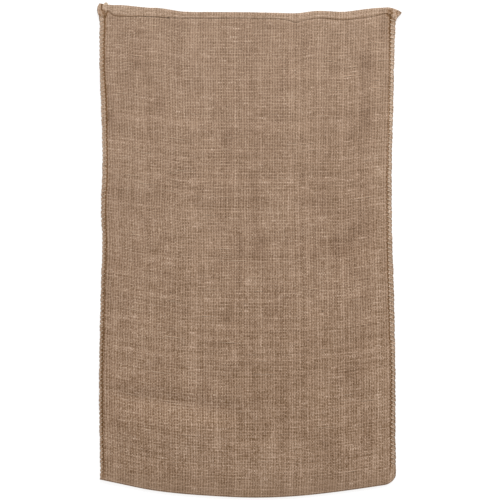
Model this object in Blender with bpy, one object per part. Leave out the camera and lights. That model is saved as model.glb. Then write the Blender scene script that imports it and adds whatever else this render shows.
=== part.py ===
"""Jute sack, lying on its back: one length of hessian folded at the bottom, its selvedges
whip-sewn together up both sides, and its two ends turned outwards as the hem of the mouth.

Units are metres, +Z up. The origin is on the surface, under the middle of the sack's box;
+Y runs to the mouth and +X to the right seam. The cloth is one hollow solid: an outer skin
and an inner skin a wall apart, joined round the rim of the mouth.
"""

from collections import namedtuple

import bpy
import bmesh
import numpy as np

# Driving dimensions.
CLOTH_THICK = 0.0015       # one layer of hessian
HEM_EXTRA = 0.0018         # how far the turned hem stands proud of the cloth it lies on
CORNER_RADIUS = 0.021      # bottom right corner, which the seam draws round
POCKET_SIDE = 0.0110       # from the side edge in to where the two layers part
POCKET_WALL = 0.0130       # from the side edge in to the inner skin's first own line
FOLD_LINES = 5             # crossways lines that follow the bottom fold closely
FOLD_SOLID_LINES = 2       # of them, those below the inner skin
POCKET_BOTTOM = 0.0030     # from the bottom fold in to where they part
POCKET_SIDE_Z = 0.0020     # height of that parting line along the seams
POCKET_HEM_Z = 0.0037      # and where it passes between the two hems
FOLD_Z = 0.0028            # height of the bottom fold's outermost line
SEAM_ZONE = 0.055          # from the side edge in to the evenly spaced columns
PANEL_COLUMNS = 22         # evenly spaced lengthways lines between the seam zones
PANEL_ROWS = 31            # evenly spaced crossways lines between the fold and the hem
BACK_LIFT_LENGTH = 0.030   # the back cloth comes off its hem down to the surface in this
BACK_HEM = 0.016           # usual depth of the hem turned under the back
BACK_EDGE_ROUND = 0.0006   # rounding of that hem's two edges
HEM_LINE = 1.001           # share of the hem's depth that still counts as hem
HEM_APPROACH = (-4.5, -1.0)    # the panel comes up to the hem between these shares, negated
CROWN_BLEND = 6.0          # how tightly the rise from the seam rounds into that of the fold
CROWN_GAIN = 1.02          # makes up the height that this rounding takes
TUCK_SIDE = (0.0, 0.020)   # the turned hem reaches its full extra thickness in this inset
BACK_TUCK_SIDE = (0.005, 0.030)   # and the back lifts off it between these insets
FLAT_WITHIN = 0.002        # radians between back faces that are merged into one

JUTE_COLOUR = (0.337, 0.223, 0.153, 1.0)
JUTE_ROUGHNESS = 0.95

# The long edges, from the bottom fold up to the mouth.
Side = namedtuple("Side", "y left right")
SIDES = (
    Side(-0.503, -0.3040, 0.2970),
    Side(-0.436, -0.3037, 0.2985),
    Side(-0.374, -0.3045, 0.2972),
    Side(-0.314, -0.3057, 0.2970),
    Side(-0.190, -0.3053, 0.2956),
    Side(-0.070, -0.3020, 0.2931),
    Side(0.021, -0.2988, 0.2902),
    Side(0.083, -0.3010, 0.2894),
    Side(0.174, -0.2984, 0.2890),
    Side(0.296, -0.3012, 0.2921),
    Side(0.388, -0.3043, 0.2943),
    Side(0.465, -0.3042, 0.2964),
    Side(0.504, -0.3042, 0.2964),
)

# The bottom fold, sagging in its middle, from the left seam to the right one.
Bottom = namedtuple("Bottom", "x y")
BOTTOM = (
    Bottom(-0.304, -0.4658),
    Bottom(-0.263, -0.4746),
    Bottom(-0.202, -0.4870),
    Bottom(-0.141, -0.4945),
    Bottom(-0.080, -0.4990),
    Bottom(0.011, -0.5027),
    Bottom(0.103, -0.4990),
    Bottom(0.164, -0.4925),
    Bottom(0.225, -0.4843),
    Bottom(0.297, -0.4735),
)

# The mouth edge and the depth of the hem below it, from the left seam to the right one.
Mouth = namedtuple("Mouth", "x y hem")
MOUTH = (
    Mouth(-0.304, 0.5027, 0.0260),
    Mouth(-0.284, 0.4995, 0.0226),
    Mouth(-0.263, 0.4997, 0.0224),
    Mouth(-0.202, 0.4938, 0.0175),
    Mouth(-0.141, 0.4865, 0.0140),
    Mouth(-0.080, 0.4852, 0.0129),
    Mouth(0.011, 0.4845, 0.0122),
    Mouth(0.066, 0.4830, 0.0130),
    Mouth(0.095, 0.4830, 0.0185),
    Mouth(0.133, 0.4871, 0.0153),
    Mouth(0.194, 0.4859, 0.0165),
    Mouth(0.225, 0.4904, 0.0172),
    Mouth(0.265, 0.4942, 0.0160),
    Mouth(0.288, 0.4934, 0.0160),
    Mouth(0.297, 0.4887, 0.0165),
)

# The ears, where the hem turns the sewn fins outwards: how far they reach past the side
# edges, by the share of the hem's depth from the mouth edge down.
Ear = namedtuple("Ear", "depth left right")
EARS = (
    Ear(0.00, 0.0005, 0.0059),
    Ear(0.20, 0.0043, 0.0132),
    Ear(0.50, 0.0054, 0.0092),
    Ear(0.80, 0.0040, 0.0045),
    Ear(1.00, 0.0013, 0.0018),
)
EAR_ROOT = 0.012           # the ear is drawn out of this much of the fin and hem
EAR_FADE = 1.6             # how fast its reach dies away down the fin, per depth of hem

# Height of the front across a seam: round edge, flat fin, needle groove, then the panel.
Across = namedtuple("Across", "inset top hem_top")
SEAM = (
    Across(0.0000, 0.0022, 0.0036),
    Across(0.0012, 0.0041, 0.0062),
    Across(0.0045, 0.0048, 0.0076),
    Across(0.0080, 0.0041, 0.0070),
    Across(0.0095, 0.0034, 0.0066),
    Across(0.0130, 0.0050, 0.0074),
    Across(0.0300, 0.0080, 0.0096),
    Across(0.0700, 0.0120, 0.0132),
    Across(0.1500, 0.0138, 0.0148),
    Across(0.3050, 0.0142, 0.0152),
)

# Height of the front up from the bottom fold.
Up = namedtuple("Up", "inset top")
FOLD_RISE = (
    Up(0.0000, 0.0028),
    Up(0.0015, 0.0050),
    Up(0.0050, 0.0064),
    Up(0.0150, 0.0079),
    Up(0.0400, 0.0108),
    Up(0.1000, 0.0134),
    Up(0.2500, 0.0142),
)

# Rows across the hem, from the line it meets the panel on (1) to the mouth edge (0), and
# how far each lies under the hem's own top: a groove, a round shoulder, a round edge.
HemRow = namedtuple("HemRow", "depth below_top")
HEM_ROWS = (
    HemRow(1.00, 0.0020),
    HemRow(0.92, 0.0004),
    HemRow(0.75, 0.0000),
    HemRow(0.50, 0.0002),
    HemRow(0.20, 0.0000),
    HemRow(0.06, 0.0004),
    HemRow(0.00, 0.0014),
)
HEM_TUCK_ROWS = (0.020, 0.008)   # rows this far below the hem, where the panel goes under it

# Soft folds of the front: a line on the sack, how far the fold spreads to each side of it,
# and its rise, which is negative in a trough.
Crease = namedtuple("Crease", "x1 y1 x2 y2 spread rise")
CREASES = (
    Crease(0.232, 0.430, 0.222, 0.020, 0.026, -0.0034),
    Crease(0.268, 0.450, 0.262, -0.060, 0.020, 0.0018),
    Crease(-0.290, -0.268, -0.040, -0.302, 0.026, -0.0034),
    Crease(-0.280, -0.340, -0.060, -0.352, 0.036, 0.0024),
    Crease(0.184, 0.006, 0.130, -0.110, 0.024, -0.0022),
    Crease(-0.160, 0.370, -0.270, 0.225, 0.028, -0.0020),
    Crease(-0.230, 0.130, -0.150, 0.250, 0.038, 0.0020),
    Crease(0.082, 0.320, 0.020, 0.120, 0.040, 0.0022),
    Crease(-0.010, 0.400, -0.070, 0.180, 0.032, -0.0016),
    Crease(-0.010, -0.355, -0.010, -0.470, 0.026, -0.0018),
    Crease(-0.130, -0.400, -0.140, -0.480, 0.026, -0.0018),
    Crease(0.240, -0.330, 0.250, -0.450, 0.030, -0.0016),
    Crease(0.100, -0.230, 0.170, -0.400, 0.044, 0.0022),
    Crease(-0.120, -0.060, -0.030, -0.200, 0.046, 0.0018),
    Crease(-0.120, 0.480, -0.090, 0.400, 0.050, 0.0024),
    Crease(0.085, 0.490, 0.110, 0.380, 0.030, -0.0014),
    Crease(0.180, 0.490, 0.165, 0.400, 0.036, 0.0020),
)

# Waves of the sewn fins along their length, in metres and turns.
Ripple = namedtuple("Ripple", "length phase rise")
RIPPLES = (
    Ripple(0.270, 0.10, 0.0008),
    Ripple(0.113, 0.65, 0.0004),
)
RIPPLE_SIDE_SHIFT = 2.3               # radians between the left seam's waves and the right's
RIPPLE_FADE = (0.004, 0.045)          # the waves die away between these insets

CREASE_FREE_SIDE = (0.012, 0.050)     # creases fade out between these insets of the seams
CREASE_FREE_BOTTOM = (0.004, 0.045)   # and between these of the bottom fold


def through(table, of, at, where):
    """A smooth cubic through the rows of a table: column `at` as a function of column `of`,
    each row's slope being that of the line between its two neighbours."""
    known = np.array([getattr(row, of) for row in table])
    value = np.array([getattr(row, at) for row in table])
    slope = np.gradient(value, known)
    where = np.clip(where, known[0], known[-1])
    row = np.clip(np.searchsorted(known, where) - 1, 0, len(known) - 2)
    span = known[row + 1] - known[row]
    t = (where - known[row]) / span
    return ((1 + 2 * t) * (1 - t) ** 2 * value[row] + t * (1 - t) ** 2 * span * slope[row]
            + t ** 2 * (3 - 2 * t) * value[row + 1]
            - t ** 2 * (1 - t) * span * slope[row + 1])


def straight(table, of, at, where):
    """Straight lines between the rows of a table."""
    return np.interp(where, [getattr(row, of) for row in table],
                     [getattr(row, at) for row in table])


def fade(value, start, end):
    """0 before start, 1 after end, smooth in between."""
    t = np.clip((value - start) / (end - start), 0, 1)
    return t * t * (3 - 2 * t)


def crease_rise(x, y):
    """The sum of the soft folds: each is a bell across its own line and past its ends."""
    rise = np.zeros_like(x)
    for fold in CREASES:
        run = np.array([fold.x2 - fold.x1, fold.y2 - fold.y1])
        t = ((x - fold.x1) * run[0] + (y - fold.y1) * run[1]) / (run @ run)
        t = np.clip(t, 0, 1)
        away = np.hypot(x - fold.x1 - t * run[0], y - fold.y1 - t * run[1])
        rise += fold.rise * np.exp(-(away / fold.spread) ** 2)
    return rise


def seam_ripple(y, side_inset):
    """How far the stiff sewn fins stand off the surface: two waves of unlike length, which
    die away into the panel."""
    left = np.arange(y.shape[1]) < y.shape[1] // 2
    phase = np.where(left, 0.0, RIPPLE_SIDE_SHIFT)
    wave = sum(np.sin(2 * np.pi * (y / row.length + row.phase) + phase) * row.rise
               for row in RIPPLES)
    top = sum(row.rise for row in RIPPLES)
    return (wave + top) * (1 - fade(side_inset, *RIPPLE_FADE))


class Lines:
    """Where the crossways and lengthways lines of the cloth run, for the whole sack."""

    def __init__(self, side_insets, bottom_insets):
        """side_insets and bottom_insets place the lines close to the seams and the fold."""
        seam = [inset for inset in side_insets if inset < SEAM_ZONE]
        panel = np.linspace(0, 1, PANEL_COLUMNS)
        self.from_left = np.concatenate([seam, np.full(PANEL_COLUMNS, SEAM_ZONE),
                                         np.zeros(len(seam))])
        self.from_right = np.concatenate([np.zeros(len(seam)), np.full(PANEL_COLUMNS, SEAM_ZONE),
                                          seam[::-1]])
        self.share = np.concatenate([np.zeros(len(seam)), panel, np.ones(len(seam))])
        nominal_left = SIDES[0].left + self.from_left
        nominal_right = SIDES[0].right - self.from_right
        self.nominal_x = nominal_left + self.share * (nominal_right - nominal_left)
        self.bottom_insets = np.array(bottom_insets)

    def place(self):
        """x, y, the inset from the nearer side edge, the inset from the bottom fold and the
        share of the hem's depth (above 1 on the panel) for each crossing, rows from the
        bottom up."""
        x = self.nominal_x
        arc_start = SIDES[0].right - CORNER_RADIUS
        into_corner = np.clip(x - arc_start, 0, CORNER_RADIUS)
        bottom = through(BOTTOM, "x", "y", x)
        bottom = bottom + CORNER_RADIUS - np.sqrt(CORNER_RADIUS ** 2 - into_corner ** 2)
        mouth = through(MOUTH, "x", "y", x)
        hem = through(MOUTH, "x", "hem", x)
        line = mouth - hem
        low = bottom + self.bottom_insets[-1]
        high = line - HEM_TUCK_ROWS[0]
        share = np.linspace(0, 1, PANEL_ROWS + 2)[1:-1]
        rows = [bottom + inset for inset in self.bottom_insets]
        rows += [low + s * (high - low) for s in share]
        rows += [line - tuck for tuck in HEM_TUCK_ROWS]
        rows += [mouth - row.depth * hem for row in HEM_ROWS]
        y = np.array(rows)
        left = through(SIDES, "y", "left", y)
        right = through(SIDES, "y", "right", y)
        depth = (mouth - y) / hem
        in_hem = np.clip(depth, 0, 1)
        reach_fade = np.exp(-EAR_FADE * np.clip(depth - 1, 0, None))
        left_grip = np.clip(1 - self.from_left / EAR_ROOT, 0, 1) * (self.share == 0)
        right_grip = np.clip(1 - self.from_right / EAR_ROOT, 0, 1) * (self.share == 1)
        start = left + self.from_left
        plain = start + self.share * (right - self.from_right - start)
        side_inset = np.minimum(plain - left, right - plain)
        x = (plain - left_grip * reach_fade * straight(EARS, "depth", "left", in_hem)
             + right_grip * reach_fade * straight(EARS, "depth", "right", in_hem))
        return x, y, side_inset, y - bottom, depth


def front_heights(x, y, side_inset, bottom_inset, depth):
    """Top and inner side of the front cloth. The panel is the lower of the rise from the
    seam and the rise from the fold, rounded into one another, and comes up to pass under
    the hem; the creases lift both sides of the cloth alike."""
    seam = straight(SEAM, "inset", "top", side_inset)
    fold = straight(FOLD_RISE, "inset", "top", bottom_inset)
    panel = CROWN_GAIN * (seam ** -CROWN_BLEND + fold ** -CROWN_BLEND) ** (-1 / CROWN_BLEND)
    hem = straight(SEAM, "inset", "hem_top", side_inset)
    tucked = hem - HEM_EXTRA * fade(side_inset, *TUCK_SIDE)
    panel = panel + fade(-depth, *HEM_APPROACH) * (tucked - panel)
    below_top = straight(HEM_ROWS[::-1], "depth", "below_top", depth)
    free = fade(side_inset, *CREASE_FREE_SIDE) * fade(bottom_inset, *CREASE_FREE_BOTTOM)
    rise = free * crease_rise(x, y)
    on_hem = depth <= HEM_LINE
    top = np.where(on_hem, hem - below_top, panel) + rise
    inner = np.where(on_hem, hem - HEM_EXTRA, panel) - CLOTH_THICK + rise
    return top, inner


def back_heights(side_inset, depth):
    """Underside and inner side of the back cloth. It is flat on the surface, apart from
    where it comes off the hem that is turned under it; the hem's mouth edge is rounded."""
    on_hem = depth <= HEM_LINE
    past_line = (depth - 1) * BACK_HEM
    lift = HEM_EXTRA * fade(-past_line, -BACK_LIFT_LENGTH, 0.0)
    lift = np.where(on_hem, 0.0, lift) * fade(side_inset, *BACK_TUCK_SIDE)
    under = np.where(depth < HEM_ROWS[-2].depth, BACK_EDGE_ROUND, 0.0) + lift
    groove = np.where(on_hem & (depth > HEM_ROWS[1].depth), BACK_EDGE_ROUND, 0.0)
    inner = np.where(on_hem, HEM_EXTRA, lift) + CLOTH_THICK
    return under + groove * fade(side_inset, *BACK_TUCK_SIDE), inner


def quads(ids):
    """Faces between the crossings of a grid of vertex numbers."""
    return [(ids[r, c], ids[r, c + 1], ids[r + 1, c + 1], ids[r + 1, c])
            for r in range(ids.shape[0] - 1) for c in range(ids.shape[1] - 1)]


def strip(one, other):
    """Faces between two lines of vertex numbers."""
    return [(one[i], one[i + 1], other[i + 1], other[i]) for i in range(len(one) - 1)]


def fan(line, tip):
    """Triangles from a line of vertex numbers to one tip."""
    return [(line[i], line[i + 1], tip) for i in range(len(line) - 1)]


class Skin:
    """Collects the points of the sack's surfaces and numbers them."""

    def __init__(self):
        self.points = []

    def add(self, x, y, z):
        """Number a new grid of points and keep their places."""
        first = len(self.points)
        self.points.extend(zip(x.ravel(), y.ravel(), z.ravel()))
        return np.arange(first, len(self.points)).reshape(x.shape)


def sack_mesh():
    """The sack's outer and inner skins, joined round the mouth."""
    insets = [row.inset for row in SEAM if row.inset < SEAM_ZONE]
    lines = Lines(insets, [row.inset for row in FOLD_RISE[:FOLD_LINES]])
    x, y, side, bottom, depth = lines.place()
    top, top_inner = front_heights(x, y, side, bottom, depth)
    under, under_inner = back_heights(side, depth)
    ripple = seam_ripple(y, side)
    for heights in (top, top_inner, under, under_inner):
        heights += ripple
    skin = Skin()

    front = skin.add(x, y, top)
    back = skin.add(x, y, under)
    for edge in (0, -1):
        back[:, edge] = front[:, edge]
    back[0] = front[0]
    faces = quads(front)
    back_faces = quads(back)

    # The inner skin leaves out the fins and starts a little above the bottom fold.
    first = insets.index(POCKET_WALL)
    rows = slice(FOLD_SOLID_LINES, None)
    columns = slice(first, -first)
    inner_x, inner_y = x[rows, columns], y[rows, columns]
    ceiling = skin.add(inner_x, inner_y, top_inner[rows, columns])
    floor = skin.add(inner_x, inner_y, under_inner[rows, columns])
    outwards = (insets[first] - POCKET_SIDE) / (insets[first] - insets[first - 1])
    part_z = np.where(depth[rows, 0] <= HEM_LINE, POCKET_HEM_Z, POCKET_SIDE_Z)
    side_lines = []
    for near, far in ((first, first - 1), (-first - 1, -first)):
        part_x = x[rows, near] + outwards * (x[rows, far] - x[rows, near])
        part_y = y[rows, near] + outwards * (y[rows, far] - y[rows, near])
        side_lines.append(skin.add(part_x, part_y, part_z + ripple[rows, near]))
    left_line, right_line = side_lines
    fold_y = y[0, columns] + POCKET_BOTTOM
    fold_line = skin.add(inner_x[0], fold_y, np.full_like(fold_y, FOLD_Z))
    for panel, target in ((ceiling, faces), (floor, back_faces)):
        target += quads(panel)
        target += strip(left_line, panel[:, 0])
        target += strip(panel[:, -1], right_line)
        target += strip(fold_line, panel[0])
        target.append((left_line[0], fold_line[0], panel[0, 0]))
        target.append((right_line[0], panel[0, -1], fold_line[-1]))

    # The rim: the mouth edges of both hems, and the ends of the fins between them.
    for outer, inner in ((front[-1], ceiling[-1]), (back[-1], floor[-1])):
        faces += strip(outer[first:-first], inner)
        faces += fan(outer[:first + 1], left_line[-1])
        faces += fan(outer[-first - 1:], right_line[-1])
        faces.append((outer[first], inner[0], left_line[-1]))
        faces.append((outer[-first - 1], inner[-1], right_line[-1]))
    return skin.points, faces, back_faces


def cloth_material():
    """Plain jute colour for the solid."""
    material = bpy.data.materials.new("jute_cloth")
    material.use_nodes = True
    shader = material.node_tree.nodes["Principled BSDF"]
    shader.inputs["Base Color"].default_value = JUTE_COLOUR
    shader.inputs["Roughness"].default_value = JUTE_ROUGHNESS
    shader.inputs["Metallic"].default_value = 0.0
    return material


def sack_cloth():
    """The sack as one closed solid; the flat faces of the back are merged."""
    points, faces, back_faces = sack_mesh()
    mesh = bpy.data.meshes.new("sack_cloth")
    cloth = bmesh.new()
    for point in points:
        cloth.verts.new(point)
    cloth.verts.ensure_lookup_table()
    for corners in faces:
        cloth.faces.new([cloth.verts[corner] for corner in corners])
    flat = [cloth.faces.new([cloth.verts[corner] for corner in corners])
            for corners in back_faces]
    bmesh.ops.delete(cloth, geom=[v for v in cloth.verts if not v.link_faces], context="VERTS")
    bmesh.ops.recalc_face_normals(cloth, faces=cloth.faces)
    edges = {edge for face in flat for edge in face.edges}
    bmesh.ops.dissolve_limit(cloth, angle_limit=FLAT_WITHIN, verts=[], edges=list(edges),
                             use_dissolve_boundaries=False)
    cloth.to_mesh(mesh)
    cloth.free()
    sack = bpy.data.objects.new("sack_cloth", mesh)
    bpy.context.scene.collection.objects.link(sack)
    mesh.materials.append(cloth_material())
    mesh.shade_smooth()


for leftover in list(bpy.data.objects):
    bpy.data.objects.remove(leftover)
sack_cloth()
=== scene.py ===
import math

import bpy
import numpy as np
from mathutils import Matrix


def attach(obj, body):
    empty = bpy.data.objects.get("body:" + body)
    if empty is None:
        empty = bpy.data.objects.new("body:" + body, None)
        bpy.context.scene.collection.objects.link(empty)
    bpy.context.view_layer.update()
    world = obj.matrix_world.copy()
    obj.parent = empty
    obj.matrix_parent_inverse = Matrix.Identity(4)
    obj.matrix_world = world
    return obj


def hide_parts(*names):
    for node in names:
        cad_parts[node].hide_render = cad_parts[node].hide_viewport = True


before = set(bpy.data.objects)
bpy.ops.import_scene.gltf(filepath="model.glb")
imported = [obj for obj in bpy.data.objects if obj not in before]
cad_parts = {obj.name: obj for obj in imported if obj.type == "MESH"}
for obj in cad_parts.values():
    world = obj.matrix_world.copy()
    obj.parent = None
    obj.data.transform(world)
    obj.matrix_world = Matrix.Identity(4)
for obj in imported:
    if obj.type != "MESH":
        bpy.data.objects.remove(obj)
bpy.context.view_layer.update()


# ---- Camera, floor and light -------------------------------------------------------------
# The sack lies on its back on a pale studio table and is seen from straight above, the mouth
# at the top of the frame. A broad soft light hangs beyond the mouth and a weak one fills in.

CAMERA_HEIGHT = 7.0
FRAME_WIDTH = 1.018          # metres of the table that the square frame takes in
FRAME_CENTRE = (0.0012, 0.0014)
SENSOR = 36.0
SKY_STRENGTH = 0.53

camera_data = bpy.data.cameras.new("camera")
camera_data.sensor_width = SENSOR
camera_data.lens = SENSOR * CAMERA_HEIGHT / FRAME_WIDTH
camera = bpy.data.objects.new("camera", camera_data)
camera.location = (*FRAME_CENTRE, CAMERA_HEIGHT)
bpy.context.scene.collection.objects.link(camera)
bpy.context.scene.camera = camera


def soft_light(name, place, aim, size, watts):
    """A rectangular light at `place`, turned to face the point `aim`."""
    data = bpy.data.lights.new(name, "AREA")
    data.shape = "RECTANGLE"
    data.size, data.size_y = size
    data.energy = watts
    light = bpy.data.objects.new(name, data)
    away = np.array(place) - np.array(aim)
    flat = math.hypot(away[0], away[1])
    light.location = place
    light.rotation_euler = (math.atan2(flat, away[2]), 0, math.atan2(away[0], -away[1]))
    light.visible_camera = False
    bpy.context.scene.collection.objects.link(light)


soft_light("key_light", place=(0.55, 2.7, 2.1), aim=(-0.05, 0, 0), size=(1.6, 1.0), watts=98)
soft_light("fill_light", place=(-0.7, -1.7, 2.2), aim=(0, -0.2, 0), size=(2.4, 1.8), watts=6)

world = bpy.data.worlds.new("studio")
bpy.context.scene.world = world
world.use_nodes = True
sky = world.node_tree.nodes["Background"]
sky.inputs["Color"].default_value = (1, 1, 1, 1)
sky.inputs["Strength"].default_value = SKY_STRENGTH
bpy.context.scene.view_settings.view_transform = "Standard"


def material_of(name, roughness, specular=0.3):
    """A new material, with its node tree and its main shader."""
    made = bpy.data.materials.new(name)
    made.use_nodes = True
    shader = made.node_tree.nodes["Principled BSDF"]
    shader.inputs["Roughness"].default_value = roughness
    shader.inputs["Specular IOR Level"].default_value = specular
    return made, made.node_tree, shader


def mesh_piece(name, points, faces, material, smooth=True):
    """A new object from an (n, 3) array of points and a list of arrays of faces, each array
    holding faces with the same number of corners."""
    mesh = bpy.data.meshes.new(name)
    corners = np.concatenate([part.ravel() for part in faces]).astype(np.int32)
    counts = np.concatenate([np.full(len(part), part.shape[1]) for part in faces])
    mesh.vertices.add(len(points))
    mesh.vertices.foreach_set("co", points.ravel().astype(np.float32))
    mesh.loops.add(len(corners))
    mesh.loops.foreach_set("vertex_index", corners)
    mesh.polygons.add(len(counts))
    mesh.polygons.foreach_set("loop_start", np.cumsum(counts) - counts)
    mesh.polygons.foreach_set("loop_total", counts)
    mesh.polygons.foreach_set("use_smooth", np.full(len(counts), smooth))
    mesh.update(calc_edges=True)
    mesh.materials.append(material)
    piece = bpy.data.objects.new(name, mesh)
    bpy.context.scene.collection.objects.link(piece)
    return piece


FLOOR_HALF = 6.0
FLOOR_GREY = (0.42, 0.42, 0.42, 1)
FLOOR_GLOW = 0.72            # lit from beneath, so that it stays white round the sack
floor_material, _, floor_shader = material_of("pale_table", 0.9)
floor_shader.inputs["Base Color"].default_value = FLOOR_GREY
floor_shader.inputs["Emission Color"].default_value = (1, 1, 1, 1)
floor_shader.inputs["Emission Strength"].default_value = FLOOR_GLOW
floor = mesh_piece(
    "floor",
    np.array([(-FLOOR_HALF, -FLOOR_HALF, 0), (FLOOR_HALF, -FLOOR_HALF, 0),
              (FLOOR_HALF, FLOOR_HALF, 0), (-FLOOR_HALF, FLOOR_HALF, 0)]),
    [np.array([[0, 1, 2, 3]])], floor_material)


# ---- Sack cloth --------------------------------------------------------------------------
# One length of plain-woven jute hessian, folded across at the bottom, its selvedges laid
# together up both sides and its ends turned outwards as the hem of the mouth. It is laid out
# here as a front and a back, which meet under the bottom fold.

CLOTH = 0.0013               # thickness of one layer
LAYER = 0.0015               # from one layer's middle to the next, where the hem is turned
FLAT_WIDTH = 0.604           # the cloth between its selvedges
FLAT_LENGTH = 0.992          # from the bottom fold to the mouth
NOSE = 0.0045                # from the bottom edge in to where the fold begins to turn
UNDER = 0.012                # the front runs this far on under the fold
FOLD_ROUND = 0.00868         # length of cloth that goes round the bottom fold
FOLD_BELOW = -0.0042         # flat place of the cloth where it comes out under the fold
CORNER = 0.023               # radius of the bottom right corner
CORNER_CENTRE = (0.2968 - CORNER, -0.4742 + CORNER)
ROW_STEP = 0.0022            # distance between crossways lines of the front
BACK_STEP = 0.00297          # and of the back
PANEL_RUN = 0.955            # length over which those lines are counted
PANEL_FROM = 0.055           # evenly spaced lengthways lines begin this far in
PANEL_LINES = 56

# The long edges from the bottom up: y, left, right; and, at the same heights, the offsets from
# those lines that fit the sheets' own left and right edges to the outline.
SIDES = np.array([
    (-0.503, -0.3040, 0.2970), (-0.436, -0.3037, 0.2985), (-0.374, -0.3045, 0.2972),
    (-0.314, -0.3057, 0.2970), (-0.190, -0.3053, 0.2956), (-0.070, -0.3020, 0.2931),
    (0.021, -0.2988, 0.2902), (0.083, -0.3010, 0.2894), (0.174, -0.2984, 0.2890),
    (0.296, -0.3012, 0.2921), (0.388, -0.3043, 0.2943), (0.465, -0.3042, 0.2964),
    (0.504, -0.3042, 0.2964)])
LEFT_OFFSETS = (-0.0006, -0.0006, -0.0008, -0.0007, 0.0000, -0.0006, -0.0010, -0.0015, -0.0012,
                -0.0013, -0.0013, -0.0009, -0.0002)
RIGHT_OFFSETS = (-0.0010, -0.0001, 0.0005, 0.0009, 0.0013, 0.0012, 0.0011, 0.0011, 0.0014,
                 0.0014, 0.0011, 0.0012, 0.0016)
SIDES[:, 1] += LEFT_OFFSETS
SIDES[:, 2] += RIGHT_OFFSETS

# The bottom fold from left to right: x, y.
BOTTOM = np.array([
    (-0.304, -0.4658), (-0.263, -0.4746), (-0.202, -0.4870), (-0.141, -0.4945),
    (-0.080, -0.4990), (0.011, -0.5027), (0.103, -0.4990), (0.164, -0.4925),
    (0.225, -0.4843), (0.297, -0.4735)])

# The mouth from left to right: x, y of its edge, depth of the hem.
MOUTH = np.array([
    (-0.304, 0.5034, 0.0260), (-0.284, 0.5000, 0.0226), (-0.263, 0.4996, 0.0224),
    (-0.220, 0.4953, 0.0190), (-0.202, 0.4938, 0.0178), (-0.187, 0.4935, 0.0183),
    (-0.171, 0.4915, 0.0177), (-0.155, 0.4888, 0.0158), (-0.141, 0.4864, 0.0140),
    (-0.110, 0.4850, 0.0134), (-0.080, 0.4850, 0.0129), (0.011, 0.4845, 0.0122),
    (0.066, 0.4832, 0.0130), (0.095, 0.4828, 0.0185), (0.133, 0.4873, 0.0153),
    (0.194, 0.4858, 0.0165), (0.225, 0.4900, 0.0172), (0.265, 0.4941, 0.0160),
    (0.288, 0.4932, 0.0160), (0.297, 0.4881, 0.0165)])

# Depth of the hem's free edge below the mouth edge, as it runs into the ears: x, depth.
HEM_EDGE = np.array([
    (-0.304, 0.0280), (-0.2985, 0.0280), (-0.2945, 0.0250), (-0.2915, 0.0180),
    (-0.2885, 0.0122), (-0.2845, 0.0150), (-0.277, 0.0208), (-0.263, 0.0224),
    (-0.202, 0.0176), (-0.187, 0.0182), (-0.171, 0.0176), (-0.155, 0.0158),
    (-0.141, 0.0140), (-0.080, 0.0129), (0.011, 0.0122),
    (0.066, 0.0130), (0.080, 0.0150), (0.092, 0.0190), (0.104, 0.0172),
    (0.133, 0.0153), (0.194, 0.0165), (0.225, 0.0172), (0.255, 0.0160),
    (0.279, 0.0135), (0.285, 0.0160), (0.290, 0.0205), (0.297, 0.0225)])

# Small tucks of the ears: the line from x, y to x, y, its spread, how dark the painted shade in it
# is and how deep.
TUCKS = np.array([
    (-0.3002, 0.5018, -0.3014, 0.4916, 0.0014, 1.0, 0.0012),
    (-0.2998, 0.4896, -0.2937, 0.4825, 0.0022, 0.7, 0.0010),
    (-0.2884, 0.4869, -0.2933, 0.4753, 0.0014, 0.9, 0.0010),
    (-0.2933, 0.4753, -0.2945, 0.4631, 0.0014, 0.9, 0.0010),
    (-0.3035, 0.4808, -0.3030, 0.4780, 0.0014, 0.7, 0.0006),
    (0.2827, 0.4896, 0.2823, 0.4825, 0.0013, 0.8, 0.0010),
    (0.2986, 0.4855, 0.2994, 0.4804, 0.0014, 0.6, 0.0008),
    (0.2799, 0.4817, 0.2880, 0.4733, 0.0017, 1.0, 0.0008),
    (0.2880, 0.4733, 0.2876, 0.4611, 0.0016, 1.0, 0.0008),
    (0.2933, 0.4713, 0.2941, 0.4662, 0.0014, 0.6, 0.0005)])

# The ears at the ends of the hem: share of its depth, reach to the left, reach to the right.
EARS = np.array([
    (0.0, 0.0005, 0.0059), (0.2, 0.0043, 0.0132), (0.5, 0.0054, 0.0092),
    (0.8, 0.0040, 0.0045), (1.0, 0.0013, 0.0018)])
EAR_ROOT = 0.012
EAR_FADE = 1.6

# Middle of the cloth across a seam: inset, front, back, front under its hem, back over its.
SEAM = np.array([
    (0.0000, 0.00340, 0.00210, 0.0043, 0.00285), (0.0015, 0.00355, 0.00220, 0.0044, 0.00285),
    (0.0045, 0.00370, 0.00220, 0.0045, 0.00285), (0.0080, 0.00340, 0.00200, 0.0044, 0.00280),
    (0.0093, 0.00310, 0.00170, 0.0043, 0.00270), (0.0110, 0.00340, 0.00140, 0.0046, 0.00255),
    (0.0130, 0.00420, 0.00110, 0.0051, 0.00235), (0.0180, 0.00535, 0.00070, 0.0059, 0.00220),
    (0.0300, 0.00730, 0.00065, 0.0074, 0.00215), (0.0700, 0.01135, 0.00065, 0.0110, 0.00215),
    (0.1500, 0.01315, 0.00065, 0.0126, 0.00215), (0.3050, 0.01355, 0.00065, 0.0130, 0.00215)])

# Middle of the front up from the bottom fold: inset, height.
FOLD = np.array([
    (0.0000, 0.00215), (0.0015, 0.00435), (0.0050, 0.00575), (0.0150, 0.00725),
    (0.0400, 0.01015), (0.1000, 0.01275), (0.2500, 0.01355)])

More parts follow.
